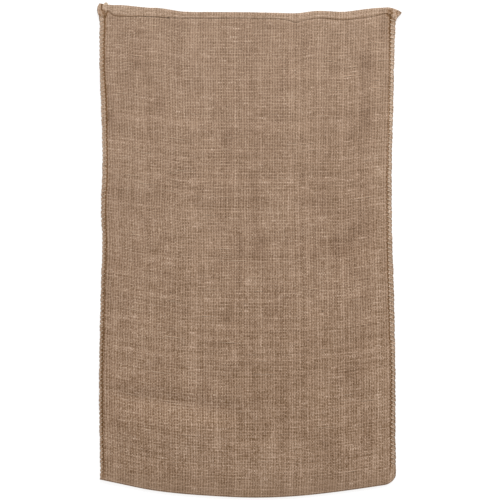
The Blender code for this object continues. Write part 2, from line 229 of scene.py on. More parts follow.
# Main soft folds of the front: the line from x, y to x, y, its spread and its rise.
CREASES = np.array([
    (0.222, 0.430, 0.216, 0.020, 0.024, -0.0038), (0.254, 0.450, 0.250, -0.060, 0.020, 0.0022),
    (-0.290, -0.2915, -0.040, -0.328, 0.022, -0.0038),
    (-0.280, -0.362, -0.060, -0.380, 0.034, 0.0026),
    (0.184, 0.006, 0.130, -0.110, 0.024, -0.0022),
    (-0.160, 0.370, -0.270, 0.225, 0.028, -0.0020),
    (-0.230, 0.130, -0.150, 0.250, 0.038, 0.0020), (0.082, 0.320, 0.020, 0.120, 0.040, 0.0022),
    (-0.010, 0.400, -0.070, 0.180, 0.032, -0.0016),
    (-0.010, -0.355, -0.010, -0.470, 0.026, -0.0018),
    (-0.130, -0.400, -0.140, -0.480, 0.026, -0.0018),
    (0.240, -0.330, 0.250, -0.450, 0.030, -0.0016),
    (0.100, -0.230, 0.170, -0.400, 0.044, 0.0022),
    (-0.120, -0.060, -0.030, -0.200, 0.046, 0.0018),
    (-0.120, 0.480, -0.090, 0.400, 0.050, 0.0024), (0.085, 0.490, 0.110, 0.380, 0.030, -0.0014),
    (0.180, 0.490, 0.165, 0.400, 0.036, 0.0020)])
CREASE_SIDE = (0.012, 0.050)
CREASE_BOTTOM = (0.004, 0.045)

# Waves of the stiff fins: length, phase, rise; and how they die away into the panel.
RIPPLES = np.array([(0.270, 0.10, 0.0008), (0.113, 0.65, 0.0004)])
RIPPLE_SHIFT = 2.3
RIPPLE_FADE = (0.004, 0.045)

# The overcast seams: stitch length, and height y against the distance of the needle holes
# from the left edge and from the right, and how dark the needle line's painted shade and
# dust are on the left and on the right.
STITCH = 0.0089
HOLES = np.array([
    (-0.46, 0.0068, 0.0104, 0.95, 1.10), (-0.36, 0.0066, 0.0102, 1.15, 1.30),
    (-0.28, 0.0065, 0.0088, 1.18, 1.25), (-0.20, 0.0067, 0.0098, 1.05, 1.06),
    (-0.12, 0.0073, 0.0114, 0.93, 0.96), (-0.04, 0.0070, 0.0112, 0.96, 1.00),
    (0.04, 0.0078, 0.0094, 0.90, 1.06), (0.12, 0.0096, 0.0094, 0.79, 0.90),
    (0.20, 0.0093, 0.0088, 0.81, 0.78), (0.29, 0.0106, 0.0090, 0.93, 0.66),
    (0.37, 0.0090, 0.0092, 0.88, 0.68), (0.45, 0.0094, 0.0110, 0.82, 1.02)])
GROOVE = 0.0093              # where the seam's profile has its groove
SEAM_TOP = 0.4700            # the seams count their stitches from here down
SEAM_FOOT = -0.4700          # and the left one ends here
STITCHES_LEFT = 104
STITCHES_RIGHT = 102


def smooth_line(table, column, where):
    """A cubic through a table's rows: its column as a function of its first column, each
    row's slope being that of the line between its neighbours."""
    known, value = table[:, 0], table[:, column]
    slope = np.gradient(value, known)
    where = np.clip(where, known[0], known[-1])
    row = np.clip(np.searchsorted(known, where) - 1, 0, len(known) - 2)
    span = known[row + 1] - known[row]
    t = (where - known[row]) / span
    return ((1 + 2 * t) * (1 - t) ** 2 * value[row] + t * (1 - t) ** 2 * span * slope[row]
            + t ** 2 * (3 - 2 * t) * value[row + 1] - t ** 2 * (1 - t) * span * slope[row + 1])


def fade(value, start, end):
    """0 before start, 1 after end, smooth in between."""
    t = np.clip((value - start) / (end - start), 0, 1)
    return t * t * (3 - 2 * t)


def bell(value, spread):
    """exp(-(value / spread)^2)."""
    return np.exp(-(value / spread) ** 2)


def bottom_line(x):
    """y of the bottom fold, its right corner rounded by a quarter circle."""
    over = np.clip(x - CORNER_CENTRE[0], 0, CORNER * 0.9999)
    return smooth_line(BOTTOM, 1, x) + CORNER - np.sqrt(CORNER ** 2 - over ** 2)


def edge_inset(x, y):
    """Distance from the nearer long edge. Round the bottom right corner it turns from the
    distance to the long edge into that to the round, and back again."""
    plain = np.minimum(x - smooth_line(SIDES, 1, y), smooth_line(SIDES, 2, y) - x)
    out, down = x - CORNER_CENTRE[0], CORNER_CENTRE[1] - y
    turned = np.degrees(np.arctan2(np.maximum(down, 0), np.maximum(out, 1e-6)))
    share = (1 - fade(turned, 35, 80)) * (out > 0) * (down > 0)
    return np.maximum(plain + share * (CORNER - np.hypot(out, down) - plain), 0)


def seam_count(x, y):
    """Distance run along the seam, in stitches, from SEAM_TOP down the side and on round
    the bottom right corner."""
    out, down = x - CORNER_CENTRE[0], CORNER_CENTRE[1] - y
    arc = CORNER * np.arctan2(np.maximum(down, 0), np.maximum(out, 1e-6))
    run = np.where(out > 0, SEAM_TOP - np.maximum(y, CORNER_CENTRE[1]) + arc, SEAM_TOP - y)
    return run / STITCH


rng = np.random.default_rng(11)
WAVES = 48
wave_length = np.concatenate([rng.uniform(0.045, 0.150, WAVES // 2),
                              rng.uniform(0.014, 0.034, WAVES // 2)])
wave_angle = rng.uniform(0, np.pi, WAVES)
wave_phase = rng.uniform(0, 2 * np.pi, WAVES)
wave_rise = np.concatenate([np.full(WAVES // 2, 0.00012), np.full(WAVES // 2, 0.00002)])


def limpness(x, y):
    """The small hollows and swellings of limp cloth: a sum of plane waves of many lengths
    and directions."""
    turn = 2 * np.pi / wave_length
    phase = (np.multiply.outer(x, np.cos(wave_angle) * turn)
             + np.multiply.outer(y, np.sin(wave_angle) * turn) + wave_phase)
    return np.sin(phase) @ wave_rise


def crease_rise(x, y, lines=CREASES, column=5):
    """The sum of the soft folds: each is a bell across its own line and past its ends."""
    rise = np.zeros_like(x)
    for line in lines:
        x1, y1, x2, y2, spread = line[:5]
        run = (x2 - x1, y2 - y1)
        t = np.clip(((x - x1) * run[0] + (y - y1) * run[1]) / (run[0] ** 2 + run[1] ** 2), 0, 1)
        away = np.hypot(x - x1 - t * run[0], y - y1 - t * run[1])
        rise += line[column] * bell(away, spread)
    return rise


def fin_wave(x, y, inset):
    """How far the sewn fins stand off the table: two waves, which die into the panel."""
    turn = np.where(x < 0, 0.0, RIPPLE_SHIFT)
    wave = sum(np.sin(2 * np.pi * (y / length + phase) + turn) * rise
               for length, phase, rise in RIPPLES)
    return (wave + RIPPLES[:, 2].sum()) * (1 - fade(inset, *RIPPLE_FADE))


def hole_inset(x, y):
    """How far in from the edge the needle holes are, a smooth line through HOLES."""
    return np.where(x < 0, smooth_line(HOLES, 1, y), smooth_line(HOLES, 2, y))


def seam_place(x, y, inset):
    """The inset to look up in the seam's profile, so that its groove is at the needle holes
    of either seam."""
    hole = hole_inset(x, y)
    return inset * GROOVE / hole * (1 - fade(inset, 0.014, 0.04)) + inset * fade(inset, 0.014, 0.04)


def sewn(x, y, inset):
    """What the sewing does to a fin: how far it draws the edge in where the twine turns
    round it, and how far it swells the cloth between stitches and sinks it at the holes."""
    count = seam_count(x, y)
    phase = count - np.floor(count)
    before_end = 1 - fade(count, STITCHES_RIGHT - 1, STITCHES_RIGHT + 1)
    below_hem = fade(SEAM_TOP - y, -0.004, 0.006) * np.where(x < 0, 1.0, before_end)
    hole = hole_inset(x, y)
    to_hole = np.minimum(phase, 1 - phase) * STITCH
    tight = 0.0018 + 0.0006 * np.sin(2.4 * np.floor(count)) + 0.0003 * np.sin(0.31 * count)
    draw = tight * bell(phase - 0.52, 0.17) * np.clip(1 - inset / 0.008, 0, 1)
    slack = 0.0004 + 0.0003 * np.sin(y * 118 + x * 9) + 0.0002 * np.sin(y * 211)
    draw = draw + slack * np.clip(1 - inset / 0.02, 0, 1)
    swell = 0.00030 * np.sin(np.pi * phase) ** 2 * bell(inset - 0.5 * hole, 0.4 * hole)
    pit = 0.00055 * bell(np.hypot(to_hole, inset - hole), 0.0017)
    return draw * below_hem, (swell - pit) * below_hem


def plan(x_from, y):
    """Where a line of the cloth runs at height y on the sack: x_from is (inset from the left
    edge, inset from the right edge, share of the way between). The ears draw the fins out
    and the sewing draws them in. Gives x, and the x that it has without the ears."""
    from_left, from_right, share = x_from
    left, right = smooth_line(SIDES, 1, y), smooth_line(SIDES, 2, y)
    start = left + from_left
    plain = start + share * (right - from_right - start)
    mouth, hem = smooth_line(MOUTH, 1, plain), smooth_line(MOUTH, 2, plain)
    depth = (mouth - y) / hem
    within = np.clip(depth, 0, 1)
    dying = np.exp(-EAR_FADE * np.clip(depth - 1, 0, None))
    grip_left = np.clip(1 - from_left / EAR_ROOT, 0, 1) * (share == 0)
    grip_right = np.clip(1 - from_right / EAR_ROOT, 0, 1) * (share == 1)
    draw = sewn(plain, y, edge_inset(plain, y))[0] * np.where(plain < 0, 1, -1)
    return (plain + draw - grip_left * dying * np.interp(within, EARS[:, 0], EARS[:, 1])
            + grip_right * dying * np.interp(within, EARS[:, 0], EARS[:, 2])), plain


def front_middle(x, y):
    """Height of the middle of the front's panel layer: the lower of the rise from the seam
    and the rise from the fold, rounded into one another, coming up to pass under the hem,
    with the creases, the limpness, the fins' waves and the sewing on top."""
    inset = edge_inset(x, y)
    bottom = np.clip(y - bottom_line(x), 0, None)
    depth = (smooth_line(MOUTH, 1, x) - y) / smooth_line(MOUTH, 2, x)
    at = seam_place(x, y, inset)
    seam = np.interp(at, SEAM[:, 0], SEAM[:, 1])
    fold = np.interp(bottom, FOLD[:, 0], FOLD[:, 1])
    panel = 1.02 * (seam ** -6.0 + fold ** -6.0) ** (-1 / 6)
    under = np.interp(at, SEAM[:, 0], SEAM[:, 3])
    panel = panel + fade(-depth, -4.5, -1.0) * (under - panel)
    free = fade(inset, *CREASE_SIDE) * fade(bottom, *CREASE_BOTTOM)
    return (panel + free * (crease_rise(x, y) + limpness(x, y)) + fin_wave(x, y, inset)
            + sewn(x, y, inset)[1])


def back_middle(x, y):
    """Height of the middle of the back's panel layer: flat on the table, lifted by the sewn
    fins and over the hem that is turned under it."""
    inset = edge_inset(x, y)
    past_line = smooth_line(MOUTH, 1, x) - y - smooth_line(HEM_EDGE, 1, x)
    at = seam_place(x, y, inset)
    flat = np.interp(at, SEAM[:, 0], SEAM[:, 2])
    over = np.interp(at, SEAM[:, 0], SEAM[:, 4])
    lifted = flat + fade(-past_line, -0.030, 0.0) * (over - flat)
    return lifted + fin_wave(x, y, inset) - 0.3 * sewn(x, y, inset)[1] * (inset > 0.006)


fin_insets = np.array([0, 0.0012, 0.003, 0.0045, 0.0056, 0.0062, 0.0068, 0.0074, 0.0080, 0.0086,
                       0.0092, 0.0098, 0.0104, 0.0110, 0.0116, 0.0123, 0.0132, 0.0146, 0.017,
                       0.021, 0.027, 0.035, 0.044])
fin_zeros = np.zeros(len(fin_insets))
columns = (np.concatenate([fin_insets, np.full(PANEL_LINES, PANEL_FROM), fin_zeros]),
           np.concatenate([fin_zeros, np.full(PANEL_LINES, PANEL_FROM), fin_insets[::-1]]),
           np.concatenate([fin_zeros, np.linspace(0, 1, PANEL_LINES), fin_zeros + 1]))
nominal_x = SIDES[0, 1] + columns[0] + columns[2] * (
    SIDES[0, 2] - columns[1] - SIDES[0, 1] - columns[0])
column_bottom = bottom_line(nominal_x)
column_mouth = smooth_line(MOUTH, 1, nominal_x)
column_hem = smooth_line(HEM_EDGE, 1, nominal_x)
stretch = FLAT_LENGTH / (column_mouth - column_bottom)   # flat length per metre of the panel
BEND = LAYER / 2
hem_rows = np.array([1.0, 0.96, 0.9, 0.8, 0.7, 0.6, 0.5, 0.4, 0.3, 0.22])[:, None]
bend_turn = np.radians(np.linspace(90, -90, 9))[:, None]
nose_turn = np.radians(np.linspace(0, 180, 11))[:, None]


def panel_rows(step, low):
    """Heights y of the panel's crossways lines, from the hem's line down to `low` above the
    bottom fold, evenly spaced in every column."""
    count = int(round(PANEL_RUN / step))
    share = np.linspace(0, 1, count + 1)[1:, None]
    high = column_mouth - column_hem
    return high + share * (column_bottom + low - high)


# Where the hem's free edge stands off the panel: x, half length, by how much.
HEM_LIFTS = np.array([
    (-0.205, 0.045, 0.0006), (0.190, 0.022, 0.0007), (-0.075, 0.014, 0.0004),
    (0.245, 0.018, 0.0003)])
HEM_PUFF = 0.0003            # how far the hem swells between its edges
THREAD_DENT = 0.00035        # how deep its running thread sinks in
END_PRESSED = 0.00055        # how far its cut end is pressed flat
BACK_HEM_OFF = 0.0008        # the back's mouth is this much below the front's
BEND_START = -0.0014         # flat place, past FLAT_LENGTH, where the cloth begins to bend
HEM_START = 0.0010           # and where it has turned and the hem begins


def hem_edge_lift(x):
    """How far the hem's free edge stands off the panel: a sum of bells along the mouth."""
    return sum(lift * bell(x - middle, half) for middle, half, lift in HEM_LIFTS)


def turned_end(side):
    """The end of the cloth that is turned back as the hem, from its free edge over the round
    of the mouth to the panel layer: on top of the front (side 1) or under the back (-1)."""
    middle = front_middle if side > 0 else back_middle
    mouth = column_mouth - (0.0 if side > 0 else BACK_HEM_OFF)
    y_hem = mouth - hem_rows * column_hem
    x_hem, plain_hem = plan(columns, y_hem)
    pressed = END_PRESSED * fade(hem_rows, 0.76, 1.0)
    z_hem = middle(plain_hem, y_hem) + side * (LAYER - pressed)
    if side > 0:
        puff = HEM_PUFF * np.sin(np.pi * hem_rows) ** 2
        dent = THREAD_DENT * bell(hem_rows - 0.52, 0.10)
        lift = hem_edge_lift(plain_hem) * hem_rows ** 3
        z_hem = z_hem + puff - dent + lift - crease_rise(x_hem, y_hem, TUCKS, 6)
    y_bend = mouth - CLOTH / 2 - BEND + BEND * np.cos(bend_turn)
    x_bend, plain_bend = plan(columns, y_bend)
    z_bend = middle(plain_bend, y_bend) + side * (BEND + BEND * np.sin(bend_turn))
    y_under = mouth - hem_rows[::-1] * column_hem
    x_under, plain_under = plan(columns, y_under)
    z_under = middle(plain_under, y_under)
    along_hem = FLAT_LENGTH + HEM_START + (column_mouth - y_hem) * stretch
    along_bend = FLAT_LENGTH + BEND_START + BEND * (bend_turn + np.pi / 2)
    along_bend = np.broadcast_to(along_bend, x_bend.shape)
    along_under = (y_under - column_bottom) * stretch
    return [np.concatenate(block) for block in (
        (x_hem, x_bend, x_under), (y_hem, y_bend, y_under), (z_hem, z_bend, z_under),
        (along_hem, along_bend, along_under), (plain_hem, plain_bend, plain_under))]


def bottom_turn():
    """The bottom fold: half an ellipse from the front's height to the back's."""
    y_start = column_bottom + NOSE
    plain_start = plan(columns, y_start)[1]
    top, low = front_middle(plain_start, y_start), back_middle(plain_start, y_start)
    turn = nose_turn[1:-1]
    y = column_bottom + CLOTH / 2 + (NOSE - CLOTH / 2) * (1 - np.sin(turn))
    x, plain = plan(columns, y)
    z = (top + low) / 2 + (top - low) / 2 * np.cos(turn)
    along = (NOSE - FOLD_ROUND * turn / np.pi) * stretch
    return x, y, z, along, plain


def run_under(insets):
    """Lines on the underside, at these insets from the bottom fold."""
    y = column_bottom + insets
    x, plain = plan(columns, y)
    return x, y, back_middle(plain, y), (FOLD_BELOW + NOSE - insets) * stretch, plain


def laid(blocks):
    """Joins blocks of rows: the (rows, lines, 3) middle of the cloth, its place across and
    along the flat cloth, in metres, and x without the ears."""
    x, y, z, along, plain = (np.concatenate(part) for part in zip(*blocks))
    left, right = smooth_line(SIDES, 1, y), smooth_line(SIDES, 2, y)
    across = (x - left) / (right - left) * FLAT_WIDTH
    return np.stack([x, y, z], axis=2), np.stack([across, along], axis=2), plain


under_insets = np.array([NOSE, 0.007, 0.0095, UNDER])[:, None]
y_front = panel_rows(ROW_STEP, NOSE)
x_front, plain_front = plan(columns, y_front)
front_panel = (x_front, y_front, front_middle(plain_front, y_front),
               (y_front - column_bottom) * stretch, plain_front)
front_middle_grid, front_flat, front_plain = laid(
    [turned_end(1), front_panel, bottom_turn(), run_under(under_insets)])

back_top = turned_end(-1)
y_back = panel_rows(BACK_STEP, UNDER)
x_back, plain_back = plan(columns, y_back)
along_back = (FOLD_BELOW + NOSE - (y_back - column_bottom)) * stretch
back_panel = (x_back, y_back, back_middle(plain_back, y_back), along_back, plain_back)
back_middle_grid, back_flat, back_plain = laid([back_top, back_panel])

# How strong the dark line of painted shade and dust under the hem is along the mouth: x, strength.
HEM_LINE = np.array([
    (-0.304, 0.2), (-0.294, 0.3), (-0.288, 0.9), (-0.250, 0.80), (-0.200, 0.45),
    (-0.166, 0.6), (-0.155, 0.15), (-0.120, 0.15), (-0.100, 0.4), (-0.070, 0.1),
    (-0.050, 0.15), (0.080, 0.25), (0.130, 0.45), (0.170, 0.8), (0.205, 0.8), (0.230, 0.5),
    (0.262, 0.6), (0.284, 0.9), (0.300, 0.8)])

# Paler and darker places, painted light and shade of the soft folds, hollows and crumpled
# ears: x, y, half length across and up the sack, and by how much.
PATCHES = np.array([
    (0.060, 0.130, 0.320, 0.330, -0.050), (-0.052, -0.250, 0.010, 0.200, 0.080),
    (0.222, -0.080, 0.016, 0.380, -0.045), (0.264, 0.040, 0.006, 0.300, 0.050),
    (-0.229, 0.388, 0.014, 0.022, -0.22), (-0.185, 0.300, 0.012, 0.026, -0.17),
    (-0.284, 0.266, 0.014, 0.014, -0.20), (-0.238, 0.452, 0.013, 0.012, -0.13),
    (-0.040, 0.232, 0.018, 0.014, -0.13), (-0.090, 0.252, 0.012, 0.014, -0.12),
    (0.237, 0.384, 0.013, 0.024, -0.23), (0.238, 0.270, 0.011, 0.018, -0.23),
    (0.237, 0.320, 0.010, 0.080, -0.10), (0.186, 0.006, 0.034, 0.026, -0.24),
    (0.222, 0.046, 0.016, 0.026, -0.12), (0.020, 0.004, 0.016, 0.040, -0.14),
    (0.196, -0.250, 0.040, 0.016, -0.10), (0.080, -0.272, 0.016, 0.014, -0.13),
    (-0.255, -0.270, 0.026, 0.009, -0.12), (-0.190, -0.284, 0.040, 0.008, -0.10),
    (-0.128, -0.300, 0.026, 0.010, -0.08), (-0.272, -0.352, 0.016, 0.016, -0.16),
    (-0.006, -0.366, 0.028, 0.020, -0.11), (0.236, -0.392, 0.013, 0.036, -0.15),
    (-0.172, -0.442, 0.050, 0.014, -0.10), (-0.068, -0.454, 0.024, 0.016, -0.10),
    (0.144, 0.092, 0.022, 0.016, -0.06), (0.124, 0.256, 0.012, 0.026, -0.08),
    (0.086, 0.314, 0.014, 0.018, 0.20), (0.066, 0.206, 0.026, 0.030, 0.07),
    (0.076, 0.080, 0.026, 0.020, 0.11), (-0.222, 0.134, 0.018, 0.014, 0.15),
    (-0.170, -0.100, 0.120, 0.100, 0.050), (-0.100, -0.230, 0.060, 0.030, 0.05),
    (0.082, -0.204, 0.024, 0.020, 0.11), (0.112, -0.102, 0.014, 0.044, 0.06),
    (-0.226, -0.308, 0.026, 0.013, 0.11), (-0.160, -0.326, 0.036, 0.012, 0.13),
    (-0.084, -0.344, 0.030, 0.015, 0.15), (0.100, -0.404, 0.014, 0.018, 0.10),
    (-0.076, 0.352, 0.018, 0.012, 0.08), (0.084, 0.428, 0.018, 0.024, 0.08),
    (0.146, 0.430, 0.016, 0.022, 0.07), (0.100, -0.230, 0.130, 0.110, -0.045),
    (0.268, 0.400, 0.009, 0.040, 0.08), (0.267, 0.180, 0.011, 0.150, 0.11),
    (0.266, 0.158, 0.014, 0.020, 0.09), (0.268, -0.040, 0.010, 0.110, 0.08),
    (0.270, -0.120, 0.010, 0.030, 0.06), (0.266, -0.310, 0.012, 0.080, 0.10),
    (-0.298, 0.496, 0.007, 0.007, 0.22), (-0.2930, 0.4945, 0.004, 0.003, 0.20),
    (-0.3006, 0.4997, 0.0018, 0.0024, -0.50), (0.298, 0.486, 0.007, 0.006, 0.10),
    (-0.210, -0.167, 0.030, 0.026, 0.09), (-0.200, -0.292, 0.022, 0.014, 0.10),
    (-0.270, -0.022, 0.022, 0.018, -0.10), (-0.092, 0.044, 0.012, 0.012, -0.09),
    (-0.238, 0.320, 0.018, 0.018, 0.06), (-0.194, 0.272, 0.014, 0.012, -0.08),
    (0.205, 0.215, 0.030, 0.028, -0.06), (0.134, 0.372, 0.014, 0.012, -0.06),
    (0.206, -0.040, 0.014, 0.012, -0.11), (0.150, -0.124, 0.014, 0.012, -0.07),
    (0.262, -0.168, 0.010, 0.022, 0.08), (0.062, -0.322, 0.010, 0.014, 0.09),
    (-0.262, 0.494, 0.024, 0.006, 0.16), (-0.305, 0.486, 0.004, 0.006, -0.24),
    (0.305, 0.484, 0.006, 0.003, -0.22)])


NEEDLE_LEFT = 0.0018         # half width of the needle line's dark, left and right
NEEDLE_RIGHT = 0.0011
HEM_LINE_DARK = 0.42
HEM_LINE_HALF = 0.0017

# The paler strip outside the needle line, on the left and on the right, and the row next to
# that line on the right: how pale at the bottom, and how much paler at the mouth.
PALE_STRIP_LEFT = (0.09, 0.23)
PALE_STRIP_RIGHT = (0.14, 0.32)
PALE_ROW_RIGHT = (0.20, 0.22)
WORN_HEM = 0.22              # how pale the hem is
UNDER_HEM_LIGHT = 0.40              # painted light on the cloth just under its free edge, lifting the shadow there
SELVEDGE_SHADE = 0.10             # painted shade on the rounded outer edge of the selvedges: how dark


def shade_of(middle, plain, side):
    """Where dust and shadow lie deep in the cloth, 0 to 1: along the needle line, most at
    the holes, and under the free edge of the hem. The needle line wanders in two slow waves
    and swings out and back with every stitch. The hem's line is stronger and weaker by
    turns, as HEM_LINE and three quick waves say."""
    x, y = plain, middle[:, :, 1]
    inset = edge_inset(x, y)
    count = seam_count(x, y)
    phase = count - np.floor(count)
    to_hole = np.minimum(phase, 1 - phase) * STITCH
    hole = hole_inset(x, y)
    wander = 0.0004 * np.sin(count * 0.9) + 0.0003 * np.sin(count * 0.37 + 1)
    zigzag = np.cos(2 * np.pi * phase)
    wander = wander + np.where(x < 0, 0.0004 + 0.0006 * zigzag, 0.0012 * zigzag)
    across = inset - hole - wander
    strength = np.where(x < 0, smooth_line(HOLES, 3, y) * (0.85 + 0.15 * bell(to_hole, 0.002)),
                        smooth_line(HOLES, 4, y) * (0.95 + 0.25 * bell(to_hole, 0.002)))
    width = np.where(x < 0, NEEDLE_LEFT + 0.0005 * fade(y, 0.15, 0.40),
                     NEEDLE_RIGHT + 0.0007 * fade(y, 0.37, 0.43))
    needle = strength * bell(across, width)
    needle = needle * fade(SEAM_TOP + 0.01 - y, -0.02, 0.0)
    needle = needle * np.where(x > 0, fade(y, -0.452, -0.434), fade(y, -0.468, -0.444))
    mouth, hem = smooth_line(MOUTH, 1, x), smooth_line(HEM_EDGE, 1, x)
    from_line = y - (mouth - hem)
    uneven = 1 + 0.25 * np.sin(x * 640) * np.sin(x * 233 + 1) + 0.15 * np.sin(x * 1130)
    line = HEM_LINE_DARK * uneven * np.interp(x, HEM_LINE[:, 0], HEM_LINE[:, 1])
    line = line * bell(from_line - 0.0005, HEM_LINE_HALF)
    if side < 0:
        return np.clip(np.maximum(needle, 0.5 * line), 0, 1)
    tucks = crease_rise(middle[:, :, 0], y, TUCKS, 5)
    return np.clip(np.maximum(np.maximum(needle, line), tucks), 0, 1)


def patch_tone(x, y):
    """How much paler or darker the cloth is: the paler strip outside the needle line and the
    row next to it, the hem, painted light on the cloth under the hem's edge, painted shade on
    the selvedges' rounded edge, and the sum of PATCHES, each a bell across times a bell
    along, which paint the light and shade of the soft folds."""
    inset = edge_inset(x, y)
    hole = hole_inset(x, y)
    up = fade(y, -0.45, 0.35)
    strip = np.where(x < 0, PALE_STRIP_LEFT[0] + PALE_STRIP_LEFT[1] * up,
                     PALE_STRIP_RIGHT[0] + PALE_STRIP_RIGHT[1] * up)
    from_line = y - smooth_line(MOUTH, 1, x) + smooth_line(HEM_EDGE, 1, x)
    strip = strip * (1 - 0.8 * fade(from_line, -0.004, 0.004))
    tone = strip * (1 - fade(inset, hole - 0.003, hole - 0.0005))
    # Painted shade on the selvedges' rounded outer edge.
    tone = tone - SELVEDGE_SHADE * bell(inset, 0.0015)
    row = (PALE_ROW_RIGHT[0] + PALE_ROW_RIGHT[1] * up) * (x > 0) * bell(inset - hole + 0.0027, 0.0013)
    tone = tone + row * (1 - fade(from_line, -0.014, -0.004))
    tone = tone + WORN_HEM * fade(from_line, -0.001, 0.001)
    # Painted light under the hem's free edge, lifting its shadow.
    tone = tone + UNDER_HEM_LIGHT * bell(from_line + 0.0012, 0.0012)
    for px, py, across, along, much in PATCHES:
        tone += much * bell(x - px, across) * bell(y - py, along)
    return tone


FRAY = (0.55, 0.30, 0.07)    # share of the thickness lost in the first rows of the cut end


def cloth_shell(name, middle, flat, masks, upward, material):
    """A closed cloth round its middle surface: every crossing goes half the thickness out
    along the normal, the cross product of the surface's two slopes, and half the thickness
    back. Edges are closed by a rim, and the cut end of the hem, the first rows, is thinner,
    as FRAY says. `upward` is 1 where the outer side faces +Z. The map "Flat" is the place on
    the flat cloth in metres. "OFBake" lays the outer side on the left of a square, the inner
    side on its right and the rim along its top."""
    rows, lines = middle.shape[:2]
    frayed = np.zeros((rows, 1, 1))
    frayed[:len(FRAY), 0, 0] = FRAY
    half = (1 - frayed) * CLOTH / 2
    normal = np.cross(np.gradient(middle, axis=0), np.gradient(middle, axis=1)) * upward
    normal /= np.linalg.norm(normal, axis=2, keepdims=True)
    points = np.concatenate([(middle + normal * half).reshape(-1, 3),
                             (middle - normal * half).reshape(-1, 3)])
    outer = np.arange(rows * lines).reshape(rows, lines)
    inner = outer + rows * lines
    if upward < 0:
        outer, inner = inner, outer

    def quads(ids):
        return np.stack([ids[:-1, :-1], ids[1:, :-1], ids[1:, 1:], ids[:-1, 1:]],
                        axis=2).reshape(-1, 4)

    def rim(one, other):
        return np.stack([one[:-1], one[1:], other[1:], other[:-1]], axis=1)

    edges = np.concatenate([
        rim(outer[0], inner[0]), rim(outer[-1][::-1], inner[-1][::-1]),
        rim(outer[:, 0][::-1], inner[:, 0][::-1]), rim(outer[:, -1], inner[:, -1])])
    piece = mesh_piece(name, points, [quads(outer), quads(inner)[:, ::-1], edges], material)
    mesh = piece.data
    corner = np.concatenate([quads(outer).ravel(), quads(inner)[:, ::-1].ravel(),
                             edges.ravel()])
    flat_map = mesh.uv_layers.new(name="Flat")
    place = np.concatenate([flat.reshape(-1, 2)] * 2)
    flat_map.data.foreach_set("uv", place[corner].ravel().astype(np.float32))
    low = flat.reshape(-1, 2).min(axis=0)
    span = flat.reshape(-1, 2).max(axis=0) - low
    unit = (flat.reshape(-1, 2) - low) / span
    sides = np.concatenate([unit * (0.60, 0.985), unit * (0.375, 0.985) + (0.615, 0)])
    count = len(edges)
    along = np.arange(count)[:, None] / count + np.array([[0, 1, 1, 0]]) / count
    high = np.broadcast_to(np.array([[0.99, 0.99, 1, 1]]), along.shape)
    bake = np.concatenate([sides[corner[:-4 * count]],
                           np.stack([along, high], axis=2).reshape(-1, 2)])
    bake_map = mesh.uv_layers.new(name="OFBake")
    bake_map.data.foreach_set("uv", bake.ravel().astype(np.float32))
    flat_map.active = True
    flat_map.active_render = True
    for key, value in masks.items():
        layer = mesh.attributes.new(key, "FLOAT", "POINT")
        layer.data.foreach_set("value", np.concatenate([value.ravel()] * 2).astype(np.float32))
    return piece


# The weave, as a node group: two sets of yarns that pass over and under one another.
WARP_PITCH = 0.00264
WEFT_PITCH = 0.00299


def calc(tree, operation, *values):
    """A Math node on sockets or numbers."""
    node = tree.nodes.new("ShaderNodeMath")
    node.operation = operation
    for socket, value in zip(node.inputs, values):
        if isinstance(value, (int, float)):
            socket.default_value = value
        else:
            tree.links.new(value, socket)
    return node.outputs[0]


def noise(tree, vector, scale, detail=2.0, dimensions="2D", roughness=0.5):
    """A Noise texture: its value and its colour."""
    node = tree.nodes.new("ShaderNodeTexNoise")
    node.noise_dimensions = dimensions
    node.inputs["Scale"].default_value = scale
    node.inputs["Detail"].default_value = detail
    node.inputs["Roughness"].default_value = roughness
    tree.links.new(vector, node.inputs["Vector"])
    return node.outputs["Fac"], node.outputs["Color"]


def pair(tree, x, y, z=0.0):
    """A vector from two or three sockets or numbers."""
    node = tree.nodes.new("ShaderNodeCombineXYZ")
    for socket, value in zip(node.inputs, (x, y, z)):
        if isinstance(value, (int, float)):
            socket.default_value = value
        else:
            tree.links.new(value, socket)
    return node.outputs[0]


def parts(tree, vector):
    """The three numbers of a vector."""
    node = tree.nodes.new("ShaderNodeSeparateXYZ")
    tree.links.new(vector, node.inputs[0])
    return node.outputs


def chance(tree, value, seed):
    """A random number from 0 to 1 for each whole number."""
    node = tree.nodes.new("ShaderNodeTexWhiteNoise")
    node.noise_dimensions = "1D"
    tree.links.new(calc(tree, "ADD", value, seed), node.inputs["W"])
    return node.outputs["Value"]


def blend(tree, share, one, other):
    """A colour between two, each a socket or four numbers."""
    node = tree.nodes.new("ShaderNodeMix")
    node.data_type = "RGBA"
    for name, value in (("Factor", share), ("A", one), ("B", other)):
        socket = [s for s in node.inputs if s.name == name
                  and s.type == ("VALUE" if name == "Factor" else "RGBA")][0]
        if isinstance(value, (int, float, tuple)):
            socket.default_value = value
        else:
            tree.links.new(value, socket)
    return [s for s in node.outputs if s.type == "RGBA"][0]


def scaled(tree, colour, share):
    """A colour times a number."""
    node = tree.nodes.new("ShaderNodeVectorMath")
    node.operation = "SCALE"
    tree.links.new(colour, node.inputs[0])
    if isinstance(share, (int, float)):
        node.inputs["Scale"].default_value = share
    else:
        tree.links.new(share, node.inputs["Scale"])
    return node.outputs[0]


